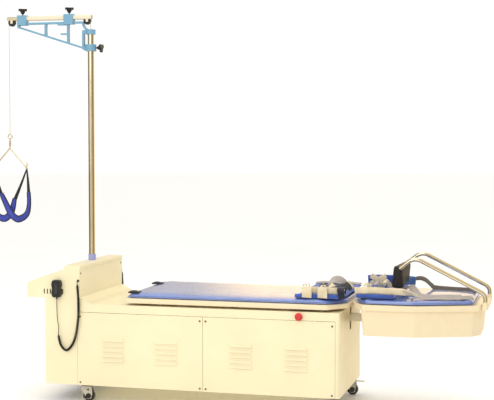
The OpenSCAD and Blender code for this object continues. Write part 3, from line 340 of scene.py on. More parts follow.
CREAM = (0.86, 0.765, 0.50)
MATERIALS = {
    "cream_paint": painted("cream_powder_coat", CREAM, 0.36),
    "tray_shell": moulded("cream_moulded_shell", (0.81, 0.675, 0.44), 0.42, 900.0, (0.985, 1.01)),
    "arm_paint": painted("cream_arm_paint", (0.86, 0.79, 0.6), 0.4),
    "arm_tube_paint": painted("ivory_tube_paint", (0.78, 0.68, 0.50), 0.3),
    # the frame is near black so the seams between the side panels, where it shows through, read dark: painted
    # shade in the gaps
    "frame_steel": painted("frame_dark_as_seam_shade", (0.06, 0.06, 0.065), 0.5),
    "actuator_grey": painted("grey_drive_paint", (0.13, 0.14, 0.15), 0.45),
    "bracket_blue": painted("sky_blue_cast_paint", (0.16, 0.35, 0.49), 0.35),
    "socket_paint": painted("lilac_collar_paint", (0.34, 0.36, 0.66), 0.35),
    "castor_cream": painted("castor_plate", (0.60, 0.54, 0.42), 0.35),
    "panel_plastic": moulded("panel_face", (0.78, 0.74, 0.62), 0.4, 900.0, (0.97, 1.02)),
    "black_plastic": moulded("black_plastic", (0.012, 0.012, 0.014), 0.38),
    "key_plastic": moulded("grey_keys", (0.035, 0.035, 0.04), 0.45),
    "estop_red": moulded("red_button", (0.60, 0.030, 0.028), 0.3),
    "cord_rubber": rubber("cord_sheath", (0.010, 0.010, 0.012), 0.42),
    "castor_wheel": rubber("dark_tyre", (0.03, 0.03, 0.032), 0.6),
    "pad_black": vinyl("black_leathercloth", (0.012, 0.011, 0.010), 0.7, 0.06),
    "vinyl_blue": vinyl("blue_leathercloth", (0.155, 0.235, 0.56), 0.34),
    "belt_blue": cloth("royal_blue_cloth", (0.035, 0.095, 0.42)),
    "sling_blue": cloth("sling_blue_cloth", (0.040, 0.062, 0.40)),
    "chrome_tube": bare_metal("polished_tube", (0.86, 0.76, 0.56), 0.14),
    "bright_steel": bare_metal("bright_steel", (0.74, 0.70, 0.62), 0.2, 900.0),
    "rope_ivory": braided("ivory_rope", (0.76, 0.68, 0.50)),
}
WEB_BEIGE = webbing("beige_webbing", (0.86, 0.73, 0.48))
WEB_GREY = webbing("grey_webbing", (0.50, 0.43, 0.38))
WEB_BROWN = webbing("brown_webbing", (0.10, 0.075, 0.055))
WEB_NAVY = webbing("navy_webbing", (0.008, 0.010, 0.035))
WEB_BLACK = webbing("black_webbing", (0.010, 0.010, 0.014))
SCREW_BROWN = painted("browned_screws", (0.16, 0.12, 0.07), 0.4)
VELOUR_BLUE = cloth("light_blue_lining", (0.12, 0.24, 0.55))
HUB_DARK = moulded("castor_hub_cap", (0.012, 0.010, 0.008), 0.4)


def paint(obj, shader):
    obj.data.materials.clear()
    obj.data.materials.append(shader.mat)


def make_floor():
    """Pale floor that reaches to the horizon on every side, so no view has a wall in it."""
    s = Shader("pale_floor", (0.99, 0.985, 0.975), 0.75)
    s.colour(s.mixed((0.985, 0.98, 0.965), (0.995, 0.99, 0.985), s.ramp(s.noise(0.8, 3.0), 0.0, 1.0)))
    bm = bmesh.new()
    bmesh.ops.create_circle(bm, cap_ends=True, segments=96, radius=FLOOR_RADIUS)
    floor = from_bmesh("floor", bm)
    paint(floor, s)
    floor.visible_glossy = False


# -------- mesh helpers
def new_object(name, mesh):
    obj = bpy.data.objects.new(name, mesh)
    bpy.context.scene.collection.objects.link(obj)
    return obj


def from_bmesh(name, bm, smooth=True):
    mesh = bpy.data.meshes.new(name)
    bm.normal_update()
    bm.to_mesh(mesh)
    bm.free()
    if smooth:
        for p in mesh.polygons:
            p.use_smooth = True
    return new_object(name, mesh)


def finish_piece(obj, body, shader, replaced=()):
    paint(obj, shader)
    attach(obj, body)
    if replaced:
        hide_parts(*replaced)
    return obj


def body_with(node):
    return next(b for b, members in frame["record"]["behaviour"]["bodies"].items() if node in members)


def slot_of(node):
    return next(s["material_slot"] for s in frame["record"]["subparts"] if s["node"] == node)


def eased(node, width=0.0012, segments=2, angle=32.0, shader=None):
    """The CAD node's own shape with its sharp edges rounded, standing for the node."""
    bm = bmesh.new()
    bm.from_mesh(nodes[node].data)
    bmesh.ops.remove_doubles(bm, verts=bm.verts, dist=1e-5)
    bmesh.ops.dissolve_limit(bm, angle_limit=math.radians(2.0), verts=bm.verts, edges=bm.edges)
    bm.normal_update()
    sharp = [e for e in bm.edges if len(e.link_faces) == 2 and e.calc_face_angle(0.0) > math.radians(angle)]
    bmesh.ops.bevel(bm, geom=sharp, offset=width, segments=segments, profile=0.5, affect="EDGES",
                    clamp_overlap=True)
    obj = from_bmesh(node + "_eased", bm)
    obj.data.set_sharp_from_angle(angle=math.radians(40))
    obj.modifiers.new("flat_faces_first", "WEIGHTED_NORMAL").keep_sharp = True
    slot = slot_of(node)
    return finish_piece(obj, body_with(node), shader or MATERIALS[slot], [node])


def smooth_path(points, steps):
    """Catmull-Rom curve through the points, with so many steps on each stretch."""
    pts = [Vector(p) for p in points]
    out = []
    for i in range(len(pts) - 1):
        p0, p1, p2, p3 = pts[max(i - 1, 0)], pts[i], pts[i + 1], pts[min(i + 2, len(pts) - 1)]
        for j in range(steps):
            t = j / steps
            out.append(0.5 * (2 * p1 + (p2 - p0) * t + (2 * p0 - 5 * p1 + 4 * p2 - p3) * t * t
                              + (3 * p1 - p0 - 3 * p2 + p3) * t ** 3))
    return out + [pts[-1]]


def frames_along(path, first_normal):
    """A direction across the path at each of its points, carried along without twist."""
    normal = Vector(first_normal)
    out = []
    for i in range(len(path)):
        t = (path[min(i + 1, len(path) - 1)] - path[max(i - 1, 0)]).normalized()
        normal = (normal - t * normal.dot(t)).normalized()
        out.append((t, normal, t.cross(normal)))
    return out


def loft(name, rings, closed_ends=True, closed_path=False, uvs=None):
    """Skin over rings of points. uvs gives (length, across) in metres for each point of each ring."""
    bm = bmesh.new()
    layer = bm.loops.layers.uv.new("strap") if uvs else None
    rows = [[bm.verts.new(p) for p in ring] for ring in rings]
    index = {v: (i, k) for i, row in enumerate(rows) for k, v in enumerate(row)}
    count, m = len(rows[0]), len(rows)
    for i in range(m if closed_path else m - 1):
        a, b = rows[i], rows[(i + 1) % m]
        for k in range(count):
            face = bm.faces.new((a[k], a[(k + 1) % count], b[(k + 1) % count], b[k]))
            if layer:
                for loop in face.loops:
                    loop[layer].uv = uvs[index[loop.vert][0]][index[loop.vert][1]]
    if closed_ends and not closed_path:
        bm.faces.new(rows[0][::-1])
        bm.faces.new(rows[-1])
    bmesh.ops.recalc_face_normals(bm, faces=bm.faces)
    return from_bmesh(name, bm)


def tube(name, path, radius, sides=12, first_normal=(0.03, 0.02, 1)):
    radii = radius if hasattr(radius, "__len__") else [radius] * len(path)
    rings = []
    for p, (t, n, b), r in zip(path, frames_along(path, first_normal), radii):
        rings.append([p + r * (math.cos(2 * math.pi * k / sides) * n + math.sin(2 * math.pi * k / sides) * b)
                      for k in range(sides)])
    return loft(name, rings)


def strap(name, points, across, width, thick, steps=8, wave=0.0):
    """Flat webbing along a smooth path. across is its width's direction, one or one a point."""
    path = smooth_path(points, steps)
    if hasattr(across[0], "__len__"):
        dirs = smooth_path(across, steps)
    else:
        dirs = [Vector(across)] * len(path)
    widths = smooth_path([(w, 0, 0) for w in width], steps) if hasattr(width, "__len__") else None
    rings, uvs, run = [], [], 0.0
    for i, p in enumerate(path):
        t = (path[min(i + 1, len(path) - 1)] - path[max(i - 1, 0)]).normalized()
        a = dirs[i] - t * dirs[i].dot(t)
        a.normalize()
        n = t.cross(a)
        if i:
            run += (p - path[i - 1]).length
        w = (widths[i].x if widths else width) / 2
        h = thick / 2
        lift = n * wave * math.sin(run * 70.0)
        section = [(-w, 0), (-w + h, h), (-w * 0.5, h), (0, h), (w * 0.5, h), (w - h, h),
                   (w, 0), (w - h, -h), (w * 0.5, -h), (0, -h), (-w * 0.5, -h), (-w + h, -h)]
        rings.append([p + a * x + n * y + lift for x, y in section])
        uvs.append([(run, x) for x, y in section])
    return loft(name, rings, uvs=uvs)


def join(objs, name):
    """One object from several, keeping their materials."""
    bpy.ops.object.select_all(action="DESELECT")
    for o in objs:
        o.select_set(True)
    bpy.context.view_layer.objects.active = objs[0]
    bpy.ops.object.join()
    objs[0].name = name
    objs[0].data.name = name
    return objs[0]


def offset_outline(pts, d):
    """Outline moved inwards by d, for a counter-clockwise outline."""
    out = []
    m = len(pts)
    for i in range(m):
        p, q, r = Vector(pts[i - 1]), Vector(pts[i]), Vector(pts[(i + 1) % m])
        u, v = (q - p).normalized(), (r - q).normalized()
        nu, nv = Vector((-u.y, u.x)), Vector((-v.y, v.x))
        k = (nu + nv)
        out.append(tuple(q + k * (d / max(k.dot(nu), 0.3))))
    return out


def rounded_outline(pts, radius, n=6):
    out = []
    m = len(pts)
    for i in range(m):
        p, q, r = Vector(pts[i - 1]), Vector(pts[i]), Vector(pts[(i + 1) % m])
        u, v = (p - q).normalized(), (r - q).normalized()
        half = math.acos(max(-1, min(1, u.dot(v)))) / 2
        cut = min(radius / math.tan(half), 0.45 * (p - q).length, 0.45 * (r - q).length)
        a, b = q + u * cut, q + v * cut
        for j in range(n + 1):
            t = j / n
            out.append(tuple((1 - t) ** 2 * a + 2 * t * (1 - t) * q + t * t * b))
    return out


DECK_OUTLINE = [(DECK_X, -HALF_W), (DECK_X + DECK_L - 0.101, -HALF_W), (DECK_X + DECK_L, -HALF_W + 0.108),
                (DECK_X + DECK_L, HALF_W - 0.108), (DECK_X + DECK_L - 0.101, HALF_W), (DECK_X, HALF_W)]
LEG_CUSHION_OUTLINE = [(LEG_X, -0.218), (LEG_X + 0.063, -HALF_W), (LEG_WIDE_X, -HALF_W),
                       (1.360, -0.207), (1.360, 0.207), (LEG_WIDE_X, HALF_W), (LEG_X + 0.063, HALF_W),
                       (LEG_X, 0.218)]


# -------- cushions
PUFF_FRAMES = 18


def puffed(obj, voxel, pressure, cap, still):
    """Remeshes the shape and blows it up a little as cloth. Points where still(point) is true don't move."""
    remesh = obj.modifiers.new("remesh", "REMESH")
    remesh.mode = "VOXEL"
    remesh.voxel_size = voxel
    bpy.context.view_layer.objects.active = obj
    bpy.ops.object.select_all(action="DESELECT")
    obj.select_set(True)
    bpy.ops.object.modifier_apply(modifier="remesh")
    start = [v.co.copy() for v in obj.data.vertices]
    pins = obj.vertex_groups.new(name="still")
    pins.add([i for i, p in enumerate(start) if still(p)], 1.0, "REPLACE")
    soft = obj.modifiers.new("cloth", "CLOTH")
    settings = soft.settings
    settings.use_pressure = True
    settings.uniform_pressure_force = pressure
    settings.effector_weights.gravity = 0.0
    settings.vertex_group_mass = "still"
    settings.tension_stiffness = settings.compression_stiffness = 12.0
    settings.bending_stiffness = 1.5
    settings.quality = 4
    soft.collision_settings.use_collision = False
    scene = bpy.context.scene
    for f in range(1, PUFF_FRAMES + 1):
        scene.frame_set(f)
    bpy.context.view_layer.update()
    moved = obj.evaluated_get(bpy.context.evaluated_depsgraph_get()).to_mesh()
    for i, v in enumerate(moved.vertices):
        d = v.co - start[i]
        if d.length > cap:
            d *= cap / d.length
        obj.data.vertices[i].co = start[i] + d
    obj.evaluated_get(bpy.context.evaluated_depsgraph_get()).to_mesh_clear()
    obj.modifiers.clear()
    obj.vertex_groups.clear()
    scene.frame_set(1)
    relax = obj.modifiers.new("relax", "SMOOTH")
    relax.iterations = 3
    relax.factor = 0.5
    bpy.ops.object.modifier_apply(modifier="relax")
    for p in obj.data.polygons:
        p.use_smooth = True
    return obj


def cushion(name, outline, low, high, radius, crown):
    """Crowned closed cushion over an outline: flat below, sides drawn in a little, highest in the middle."""
    rings = []
    shape = rounded_outline(outline, radius, 7)
    height = high - low
    # (share of the height, how far in from the outline)
    for z, inwards in ((0.0, 0.006), (0.12, 0.0012), (0.4, 0.0006), (0.66, 0.002), (0.84, 0.007),
                       (0.94, 0.016)):
        rings.append([Vector((x, y, low + z * height)) for x, y in offset_outline(shape, inwards)])
    bm = bmesh.new()
    rows = [[bm.verts.new(p) for p in ring] for ring in rings]
    count = len(rows[0])
    for a, b in zip(rows, rows[1:]):
        for k in range(count):
            bm.faces.new((a[k], a[(k + 1) % count], b[(k + 1) % count], b[k]))
    bm.faces.new(rows[0][::-1])
    # the top goes in to the middle line in steps
    inner = rows[-1]
    xs = [p[0] for p in outline]
    cx0, cx1 = min(xs) + 0.3, max(xs) - 0.3
    for step in range(1, 7):
        t = step / 6.5
        ring = []
        for v in rows[-1]:
            target = Vector((max(cx0, min(cx1, v.co.x)), 0, 0))
            p = v.co.lerp(target, t)
            ring.append(bm.verts.new((p.x, p.y, low + height * (0.94 + 0.06 * math.sin(t * math.pi / 2))
                                      + crown * math.sin(t * math.pi / 2))))
        for k in range(count):
            bm.faces.new((inner[k], inner[(k + 1) % count], ring[(k + 1) % count], ring[k]))
        inner = ring
    bm.faces.new(inner)
    bmesh.ops.recalc_face_normals(bm, faces=bm.faces)
    return from_bmesh(name, bm)


def welt(name, outline, z, radius, thick):
    """Piped seam that runs round a cushion."""
    pts = [Vector((x, y, z)) for x, y in rounded_outline(outline, radius, 7)]
    rings = []
    m = len(pts)
    for i, p in enumerate(pts):
        t = (pts[(i + 1) % m] - pts[i - 1]).normalized()
        n = Vector((t.y, -t.x, 0))
        rings.append([p + thick * (math.cos(a * math.pi / 4) * n + Vector((0, 0, math.sin(a * math.pi / 4))))
                      for a in range(8)])
    return loft(name, rings, closed_path=True)


def make_cushions():
    specs = (("deck_cushion", DECK_OUTLINE, DECK_TOP, "deck", 0.007),
             ("leg_cushion", LEG_CUSHION_OUTLINE, LEG_TOP, "leg_section", 0.006))
    for node, outline, z, body, crown in specs:
        inside = offset_outline(outline, 0.0125)
        piece = cushion(node + "_padded", inside, z + 0.0004, z + CUSHION_H - 0.0035, 0.03, 0.0015)
        puffed(piece, 0.0085, 4.0, 0.0045, lambda p, z=z: p.z < z + 0.004)
        finish_piece(piece, body, MATERIALS["vinyl_blue"], [node])
        seam = welt(node + "_welt", offset_outline(outline, 0.0115), z + 0.0075, 0.03, 0.0021)
        finish_piece(seam, body, MATERIALS["vinyl_blue"])


# -------- trays and painted shells
def make_shells():
    for node, width, segments in (("deck_tray", 0.006, 4), ("leg_tray", 0.0045, 3), ("top_cover", 0.0016, 2),
                                  ("head_housing", 0.0009, 2), ("foot_end_cover", 0.0008, 2),
                                  ("side_panels", 0.0007, 2), ("console_cap", 0.0015, 2),
                                  ("console_front_panel", 0.0006, 1), ("control_panel", 0.0008, 2),
                                  ("arm_bracket", 0.0018, 2), ("estop_button", 0.0022, 3),
                                  ("clamp_knob_front", 0.0022, 3), ("clamp_knob_rear", 0.0022, 3),
                                  ("swivel_knob", 0.0022, 3), ("handset_keys_near", 0.0006, 2),
                                  ("handset_keys_far", 0.0006, 2), ("leg_arm", 0.003, 2)):
        eased(node, width, segments)


def plain_nodes():
    """Every CAD node that stays gets its slot's material."""
    for name, obj in nodes.items():
        paint(obj, MATERIALS[slot_of(name)])
        obj.data.set_sharp_from_angle(angle=math.radians(35))
    paint(nodes["panel_screws"], SCREW_BROWN)


# -------- leg rest pad
PAD_HALF_Y = 0.1795
PAD_NEAR = [(0.9255, 0.6475), (0.9865, 0.6475), (0.9785, 0.7645), (0.9385, 0.7675)]
PAD_FAR = [(0.9255, 0.6475), (0.9735, 0.6475), (0.9855, 0.7535), (0.9425, 0.7565)]


def make_rest_pad():
    """Black wrap round the cross bar and the rails' ends: lower at its far end, drawn in at both ends."""
    near, far = (rounded_outline(shape, 0.008, 5) for shape in (PAD_NEAR, PAD_FAR))
    rings = []
    for i in range(25):
        t = -1 + i / 12
        draw = 0.0045 * max(0.0, abs(t) - 0.85) / 0.15
        share = (t + 1) / 2
        shape = [(a[0] + (b[0] - a[0]) * share, a[1] + (b[1] - a[1]) * share) for a, b in zip(near, far)]
        ring = []
        for x, z in offset_outline(shape, 0.0012 + draw):
            crease = 0.0012 * math.sin(11 * t + 30 * z) * math.cos(5 * t)
            ring.append(Vector((x + crease, t * (PAD_HALF_Y - 0.0015), z)))
        rings.append(ring)
    pad = loft("leg_rest_pad_wrap", rings)
    puffed(pad, 0.005, 4.0, 0.0030, lambda p: False)
    finish_piece(pad, "leg_rest", MATERIALS["pad_black"], ["leg_rest_pad"])
    # the wrap's overlap, sewn down along the side that faces the deck
    for z in (0.682, 0.690):
        seam = tube("rest_pad_seam_%d" % round(z * 1e3),
                    [Vector((0.9285 + (z - 0.682) * 0.1, y * 0.0116,
                             z + 0.0006 * math.sin(y))) for y in range(-15, 16)],
                    0.0011, 6)
        finish_piece(seam, "leg_rest", MATERIALS["pad_black"])


# -------- belts
STRAP_T = 0.0022
SEWN = 0.0165     # height above the cushion at which webbing meets a belt's pad


def buckle(name, at, along, up, length, width, shader=None):
    """Rectangular ring with a bar across its middle."""
    along, up = Vector(along).normalized(), Vector(up).normalized()
    corners = [(-length / 2, -width / 2), (length / 2, -width / 2), (length / 2, width / 2),
               (-length / 2, width / 2)]
    path = [Vector(at) + along * x + up * y for x, y in rounded_outline(corners, 0.006, 5)]
    m = len(path)
    normal = along.cross(up)
    rings = []
    for i, p in enumerate(path):
        t = (path[(i + 1) % m] - path[i - 1]).normalized()
        out = t.cross(normal)
        rings.append([p + 0.0022 * (math.cos(k * math.pi / 4) * out + math.sin(k * math.pi / 4) * normal)
                      for k in range(8)])
    ring = loft(name, rings, closed_path=True)
    bar = tube(name + "_bar", [Vector(at) - up * (width / 2), Vector(at), Vector(at) + up * (width / 2)],
               0.0018, 8, normal)
    paint(ring, shader or MATERIALS["bright_steel"])
    paint(bar, shader or MATERIALS["bright_steel"])
    return join([ring, bar], name)


def soft_pad(name, x0, x1, y0, y1, z, height, shader, ripple=0.0015):
    """Quilted belt pad: closed, rounded at its edges, with sewn channels across it."""
    nx, ny = 44, 60
    bm = bmesh.new()
    layers = []
    for top in (True, False):
        rows = []
        for i in range(nx + 1):
            row = []
            for j in range(ny + 1):
                u, v = i / nx, j / ny
                edge = min(min(u, 1 - u) * (x1 - x0), min(v, 1 - v) * (y1 - y0)) / (height * 0.8)
                full = math.sqrt(max(0.0, 1 - (1 - min(edge, 1)) ** 2))
                channel = 1 - 0.28 * math.exp(-((((v * 7) % 1) - 0.5) / 0.07) ** 2)
                wave = ripple * math.sin(u * 9 + v * 14)
                h = height * (0.5 + 0.5 * full * channel) if top else height * 0.5 * (1 - full)
                row.append(bm.verts.new((x0 + u * (x1 - x0), y0 + v * (y1 - y0),
                                         z + h + (wave * full if top else 0))))
            rows.append(row)
        layers.append(rows)
    for rows, flip in ((layers[0], False), (layers[1], True)):
        for i in range(nx):
            for j in range(ny):
                f = (rows[i][j], rows[i + 1][j], rows[i + 1][j + 1], rows[i][j + 1])
                bm.faces.new(f[::-1] if flip else f)
    for i in range(nx):
        for j, s in ((0, 1), (ny, -1)):
            f = (layers[1][i][j], layers[1][i + 1][j], layers[0][i + 1][j], layers[0][i][j])
            bm.faces.new(f[::s])
    for j in range(ny):
        for i, s in ((0, -1), (nx, 1)):
            f = (layers[1][i][j], layers[1][i][j + 1], layers[0][i][j + 1], layers[0][i][j])
            bm.faces.new(f[::s])
    bmesh.ops.recalc_face_normals(bm, faces=bm.faces)
    obj = from_bmesh(name, bm)
    paint(obj, shader)
    return obj


def belt_pieces():
    """A list for one belt's pieces, and the call that paints a piece and puts it in the list."""
    parts = []

    def add(obj, shader):
        paint(obj, shader)
        parts.append(obj)

    return parts, add


def ride_belt(parts, body, node):
    for obj in parts:
        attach(obj, body)
    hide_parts(node)


def make_thoracic_belt():
    z = DECK_SOFT
    parts, add = belt_pieces()
    pad = soft_pad("thoracic_pad", 0.447, 0.698, -0.288, 0.288, z, 0.0135, MATERIALS["belt_blue"])
    parts.append(pad)
    add(tube("thoracic_edge_roll", [Vector((0.448 + i * 0.0155, -0.2785 - 0.0012 * math.sin(i), z + 0.0112))
                                    for i in range(17)], 0.0102, 12), MATERIALS["belt_blue"])
    # webbing that stands along the near side of the pad, and lies folded along the far side
    add(strap("thoracic_side_near",
              [(0.482, -0.262, z + 0.037), (0.52, -0.274, z + 0.040), (0.57, -0.267, z + 0.041),
               (0.62, -0.274, z + 0.040), (0.67, -0.266, z + 0.040), (0.698, -0.256, z + 0.035)],
              (0, -0.25, 1), (0.030, 0.038, 0.038, 0.038, 0.036, 0.032), 0.004, 9), WEB_BEIGE)
    add(strap("thoracic_side_far",
              [(0.446, 0.264, z + 0.0170), (0.50, 0.268, z + 0.021), (0.56, 0.262, z + 0.0185),
               (0.62, 0.268, z + 0.022), (0.698, 0.264, z + 0.0170)], (0, 1, 0.08), 0.050, 0.004, 9),
        WEB_GREY)
    # loops of webbing over the near wall, with their rings
    for i, x in enumerate((0.511, 0.592)):
        add(strap("thoracic_loop_%d" % i,
                  [(x, -0.291, z + 0.0045), (x + 0.001, -0.2935, z + 0.022), (x, -0.290, z + 0.044),
                   (x, -0.276, z + 0.057), (x, -0.258, z + 0.052), (x, -0.243, z + 0.030)],
                  (1, 0, 0), 0.050, STRAP_T, 8), WEB_BEIGE)
        add(buckle("thoracic_ring_%d" % i, (x - 0.010 + 0.006 * i, -0.254, z + 0.0605), (1, 0, 0.15),
                   (0, 0.6, 0.6), 0.034, 0.024),
            WEB_BLACK if i else MATERIALS["bright_steel"])
    # raised loop of webbing in the middle and the free end beyond it
    add(strap("thoracic_arch",
              [(0.575, -0.058, z + SEWN), (0.580, -0.048, z + 0.044), (0.602, -0.026, z + 0.068),
               (0.628, 0.0, z + 0.071), (0.650, 0.018, z + 0.055), (0.664, 0.034, z + 0.030),
               (0.676, 0.045, z + SEWN)],
              (0.1, 0.85, 0.5), 0.044, STRAP_T, 9), WEB_GREY)
    add(strap("thoracic_tail",
              [(0.560, -0.135, z + SEWN), (0.600, -0.130, z + 0.026), (0.640, -0.125, z + 0.043),
               (0.672, -0.118, z + 0.050), (0.692, -0.110, z + 0.040)],
              (0.1, 0.9, 0.4), 0.044, STRAP_T, 9), WEB_BLACK)
    for i, (x, y, shader) in enumerate(((0.562, -0.118, WEB_BEIGE), (0.606, -0.085, WEB_BEIGE),
                                        (0.668, -0.020, WEB_BLACK), (0.664, 0.070, WEB_BEIGE))):
        add(strap("thoracic_ruck_%d" % i,
                  [(x - 0.026, y - 0.012, z + SEWN), (x - 0.017, y - 0.006, z + 0.036), (x, y, z + 0.0470),
                   (x + 0.013, y + 0.006, z + 0.034), (x + 0.023, y + 0.012, z + SEWN)],
                  (0.2 - 0.3 * (i % 2), 0.9, 0.35), 0.038, STRAP_T, 8), shader)
    add(strap("thoracic_tail_far",
              [(0.535, 0.060, z + SEWN), (0.575, 0.080, z + 0.036), (0.620, 0.095, z + 0.030),
               (0.670, 0.110, z + 0.0170)],
              (0.1, 1, 0), 0.046, STRAP_T, 9), WEB_NAVY)
    # folded lining that shows at the foot side
    add(strap("thoracic_lining",
              [(0.600, -0.236, z + SEWN), (0.632, -0.238, z + 0.026), (0.662, -0.240, z + 0.022),
               (0.694, -0.242, z + SEWN)],
              (0, 1, 0.1), 0.07, 0.004, 8), VELOUR_BLUE)
    add(strap("thoracic_navy",
              [(0.682, -0.205, z + 0.0175), (0.684, -0.240, z + 0.054), (0.684, -0.270, z + 0.057),
               (0.686, -0.291, z + 0.044), (0.690, -0.2955, z + 0.022), (0.694, -0.292, z + 0.004)],
              (1, 0, 0), (0.036, 0.038, 0.038, 0.036, 0.036, 0.034), STRAP_T, 8), WEB_NAVY)
    # anchor straps at the head corners
    for i, (x, y) in enumerate(((-0.4545, -0.2725), (-0.4665, 0.1375))):
        low = z - 0.004     # the cushion is lower towards its corners
        lump = soft_pad("anchor_pad_%d" % i, x, x + 0.059, y - 0.0255, y + 0.0255, low, 0.0095, WEB_BLACK,
                        0.0006)
        parts.append(lump)
        add(strap("anchor_strap_%d" % i, [(x + 0.001, y, low + 0.0070), (x + 0.013, y, low + 0.0115),
                                          (x + 0.034, y, low + 0.0115), (x + 0.058, y, low + 0.0060)],
                  (0, 1, 0), (0.034, 0.034, 0.030, 0.022), STRAP_T, 6), WEB_BLACK)
    ride_belt(parts, "deck", "thoracic_belt")


def make_pelvic_belt():
    z = LEG_SOFT
    parts, add = belt_pieces()
    pad = soft_pad("pelvic_pad", 0.762, 0.958, -0.283, 0.283, z, 0.0135, MATERIALS["belt_blue"])
    parts.append(pad)
    add(tube("pelvic_edge_roll", [Vector((0.764 + i * 0.0135, -0.2735 - 0.0010 * math.sin(i), z + 0.0112))
                                  for i in range(15)], 0.0102, 12), MATERIALS["belt_blue"])
    add(strap("pelvic_side_near",
              [(0.754, -0.262, z + 0.036), (0.80, -0.272, z + 0.038), (0.86, -0.266, z + 0.039),
               (0.92, -0.272, z + 0.038), (0.965, -0.266, z + 0.037), (1.0, -0.258, z + 0.034),
               (1.035, -0.246, z + 0.026), (1.068, -0.234, z + 0.016)],
              (0, -0.3, 1), (0.036, 0.038, 0.038, 0.038, 0.038, 0.036, 0.022, 0.014), 0.004, 9), WEB_BEIGE)
    # the belt's back stands up on the far side
    add(strap("pelvic_back",
              [(0.748, 0.200, z + 0.042), (0.80, 0.212, z + 0.044), (0.86, 0.204, z + 0.044),
               (0.92, 0.214, z + 0.043), (0.97, 0.206, z + 0.042), (1.006, 0.198, z + 0.040)],
              (0, 0.2, 1), (0.046, 0.048, 0.050, 0.050, 0.048, 0.046), 0.009, 9), MATERIALS["belt_blue"])
    add(strap("pelvic_back_lining",
              [(0.950, 0.199, z + 0.041), (0.970, 0.197, z + 0.042), (0.990, 0.194, z + 0.042),
               (1.005, 0.191, z + 0.041)],
              (0, 0.2, 1), 0.046, 0.003, 6), VELOUR_BLUE)
    # crossing straps in front of the back
    for i, (x0, x1) in enumerate(((0.765, 0.848), (0.848, 0.765))):
        add(strap("pelvic_cross_%d" % i,
                  [(x0, 0.1905 - 0.003 * i, z + 0.018), ((x0 + x1) / 2, 0.1895 - 0.003 * i, z + 0.042),
                   (x1, 0.192 - 0.003 * i, z + 0.064)],
                  (1, 0, 0.1), 0.030, STRAP_T, 10), WEB_BEIGE)
    # loops on the middle of the pad
    for i, (x, y) in enumerate(((0.790, -0.10), (0.832, -0.02), (0.866, 0.07))):
        add(strap("pelvic_loop_%d" % i,
                  [(x - 0.026, y - 0.012, z + SEWN), (x - 0.016, y - 0.006, z + 0.038), (x, y, z + 0.0475),
                   (x + 0.014, y + 0.006, z + 0.034), (x + 0.024, y + 0.012, z + SEWN)],
                  (0.2, 0.9, 0.35), 0.044, STRAP_T, 8), WEB_BEIGE if i != 1 else WEB_GREY)
    add(buckle("pelvic_ring", (0.822, -0.106, z + 0.026), (0, 1, 0), (0.6, 0, 0.8), 0.040, 0.026),
        MATERIALS["bright_steel"])
    add(buckle("pelvic_ring_far", (0.872, 0.000, z + 0.026), (0, 1, 0), (0.6, 0, 0.8), 0.040, 0.026),
        WEB_BLACK)
    # straps that run on to the foot end
    add(strap("pelvic_strap_middle",
              [(0.896, -0.020, z + 0.022), (0.925, -0.024, z + 0.028), (0.965, -0.040, z + 0.029),
               (0.996, -0.050, z + 0.036), (1.014, -0.066, z + 0.042), (1.036, -0.095, z + 0.026),
               (1.062, -0.138, z + 0.0075), (1.120, -0.1600, z + 0.0040), (1.200, -0.1500, z + 0.0036),
               (1.280, -0.1300, z + 0.0036)],
              (0.45, 0.8, 0.3), 0.046, STRAP_T, 9), WEB_GREY)
    add(strap("pelvic_strap_near",
              [(0.996, -0.260, z + 0.044), (1.030, -0.250, z + 0.036), (1.062, -0.238, z + 0.018),
               (1.105, -0.2250, z + 0.0066), (1.180, -0.2030, z + 0.0062), (1.260, -0.1800, z + 0.0062),
               (1.336, -0.1540, z + 0.0062)],
              (0.12, 1, 0.25), (0.026, 0.034, 0.038, 0.044, 0.046, 0.046, 0.046), STRAP_T, 9), WEB_GREY)
    add(strap("pelvic_strap_far",
              [(1.002, 0.208, z + 0.052), (1.032, 0.214, z + 0.055), (1.060, 0.212, z + 0.045),
               (1.086, 0.208, z + 0.024), (1.112, 0.202, z + 0.0080), (1.180, 0.188, z + 0.0040),
               (1.260, 0.1680, z + 0.0036), (1.336, 0.1500, z + 0.0036)],
              (-0.10, 0.85, 0.45), (0.034, 0.040, 0.042, 0.042, 0.044, 0.046, 0.046, 0.046), STRAP_T, 9),
        WEB_BROWN)
    ride_belt(parts, "leg_section", "pelvic_belt")


# -------- sling, spreader and rope
LOOPS = {"front": [(0.117, 1.110), (0.118, 1.040), (0.102, 0.985), (0.050, 0.958), (0.006, 0.990),
                   (-0.024, 1.044), (-0.052, 1.102)],
         "rear": [(0.117, 1.110), (0.118, 1.040), (0.102, 0.985), (0.050, 0.958), (0.008, 0.986),
                  (-0.008, 1.028), (-0.019, 1.072)]}
LOOP_HALF = (0.012, 0.013, 0.017, 0.020, 0.019, 0.017, 0.013)
BAND_Y = 0.012


def sideways(points):
    """For a path in an X and Z plane, the direction of a band's width at each point."""
    out = []
    for i in range(len(points)):
        t = Vector(points[min(i + 1, len(points) - 1)]) - Vector(points[max(i - 1, 0)])
        out.append(Vector((-t.z, 0, t.x)).normalized())
    return out


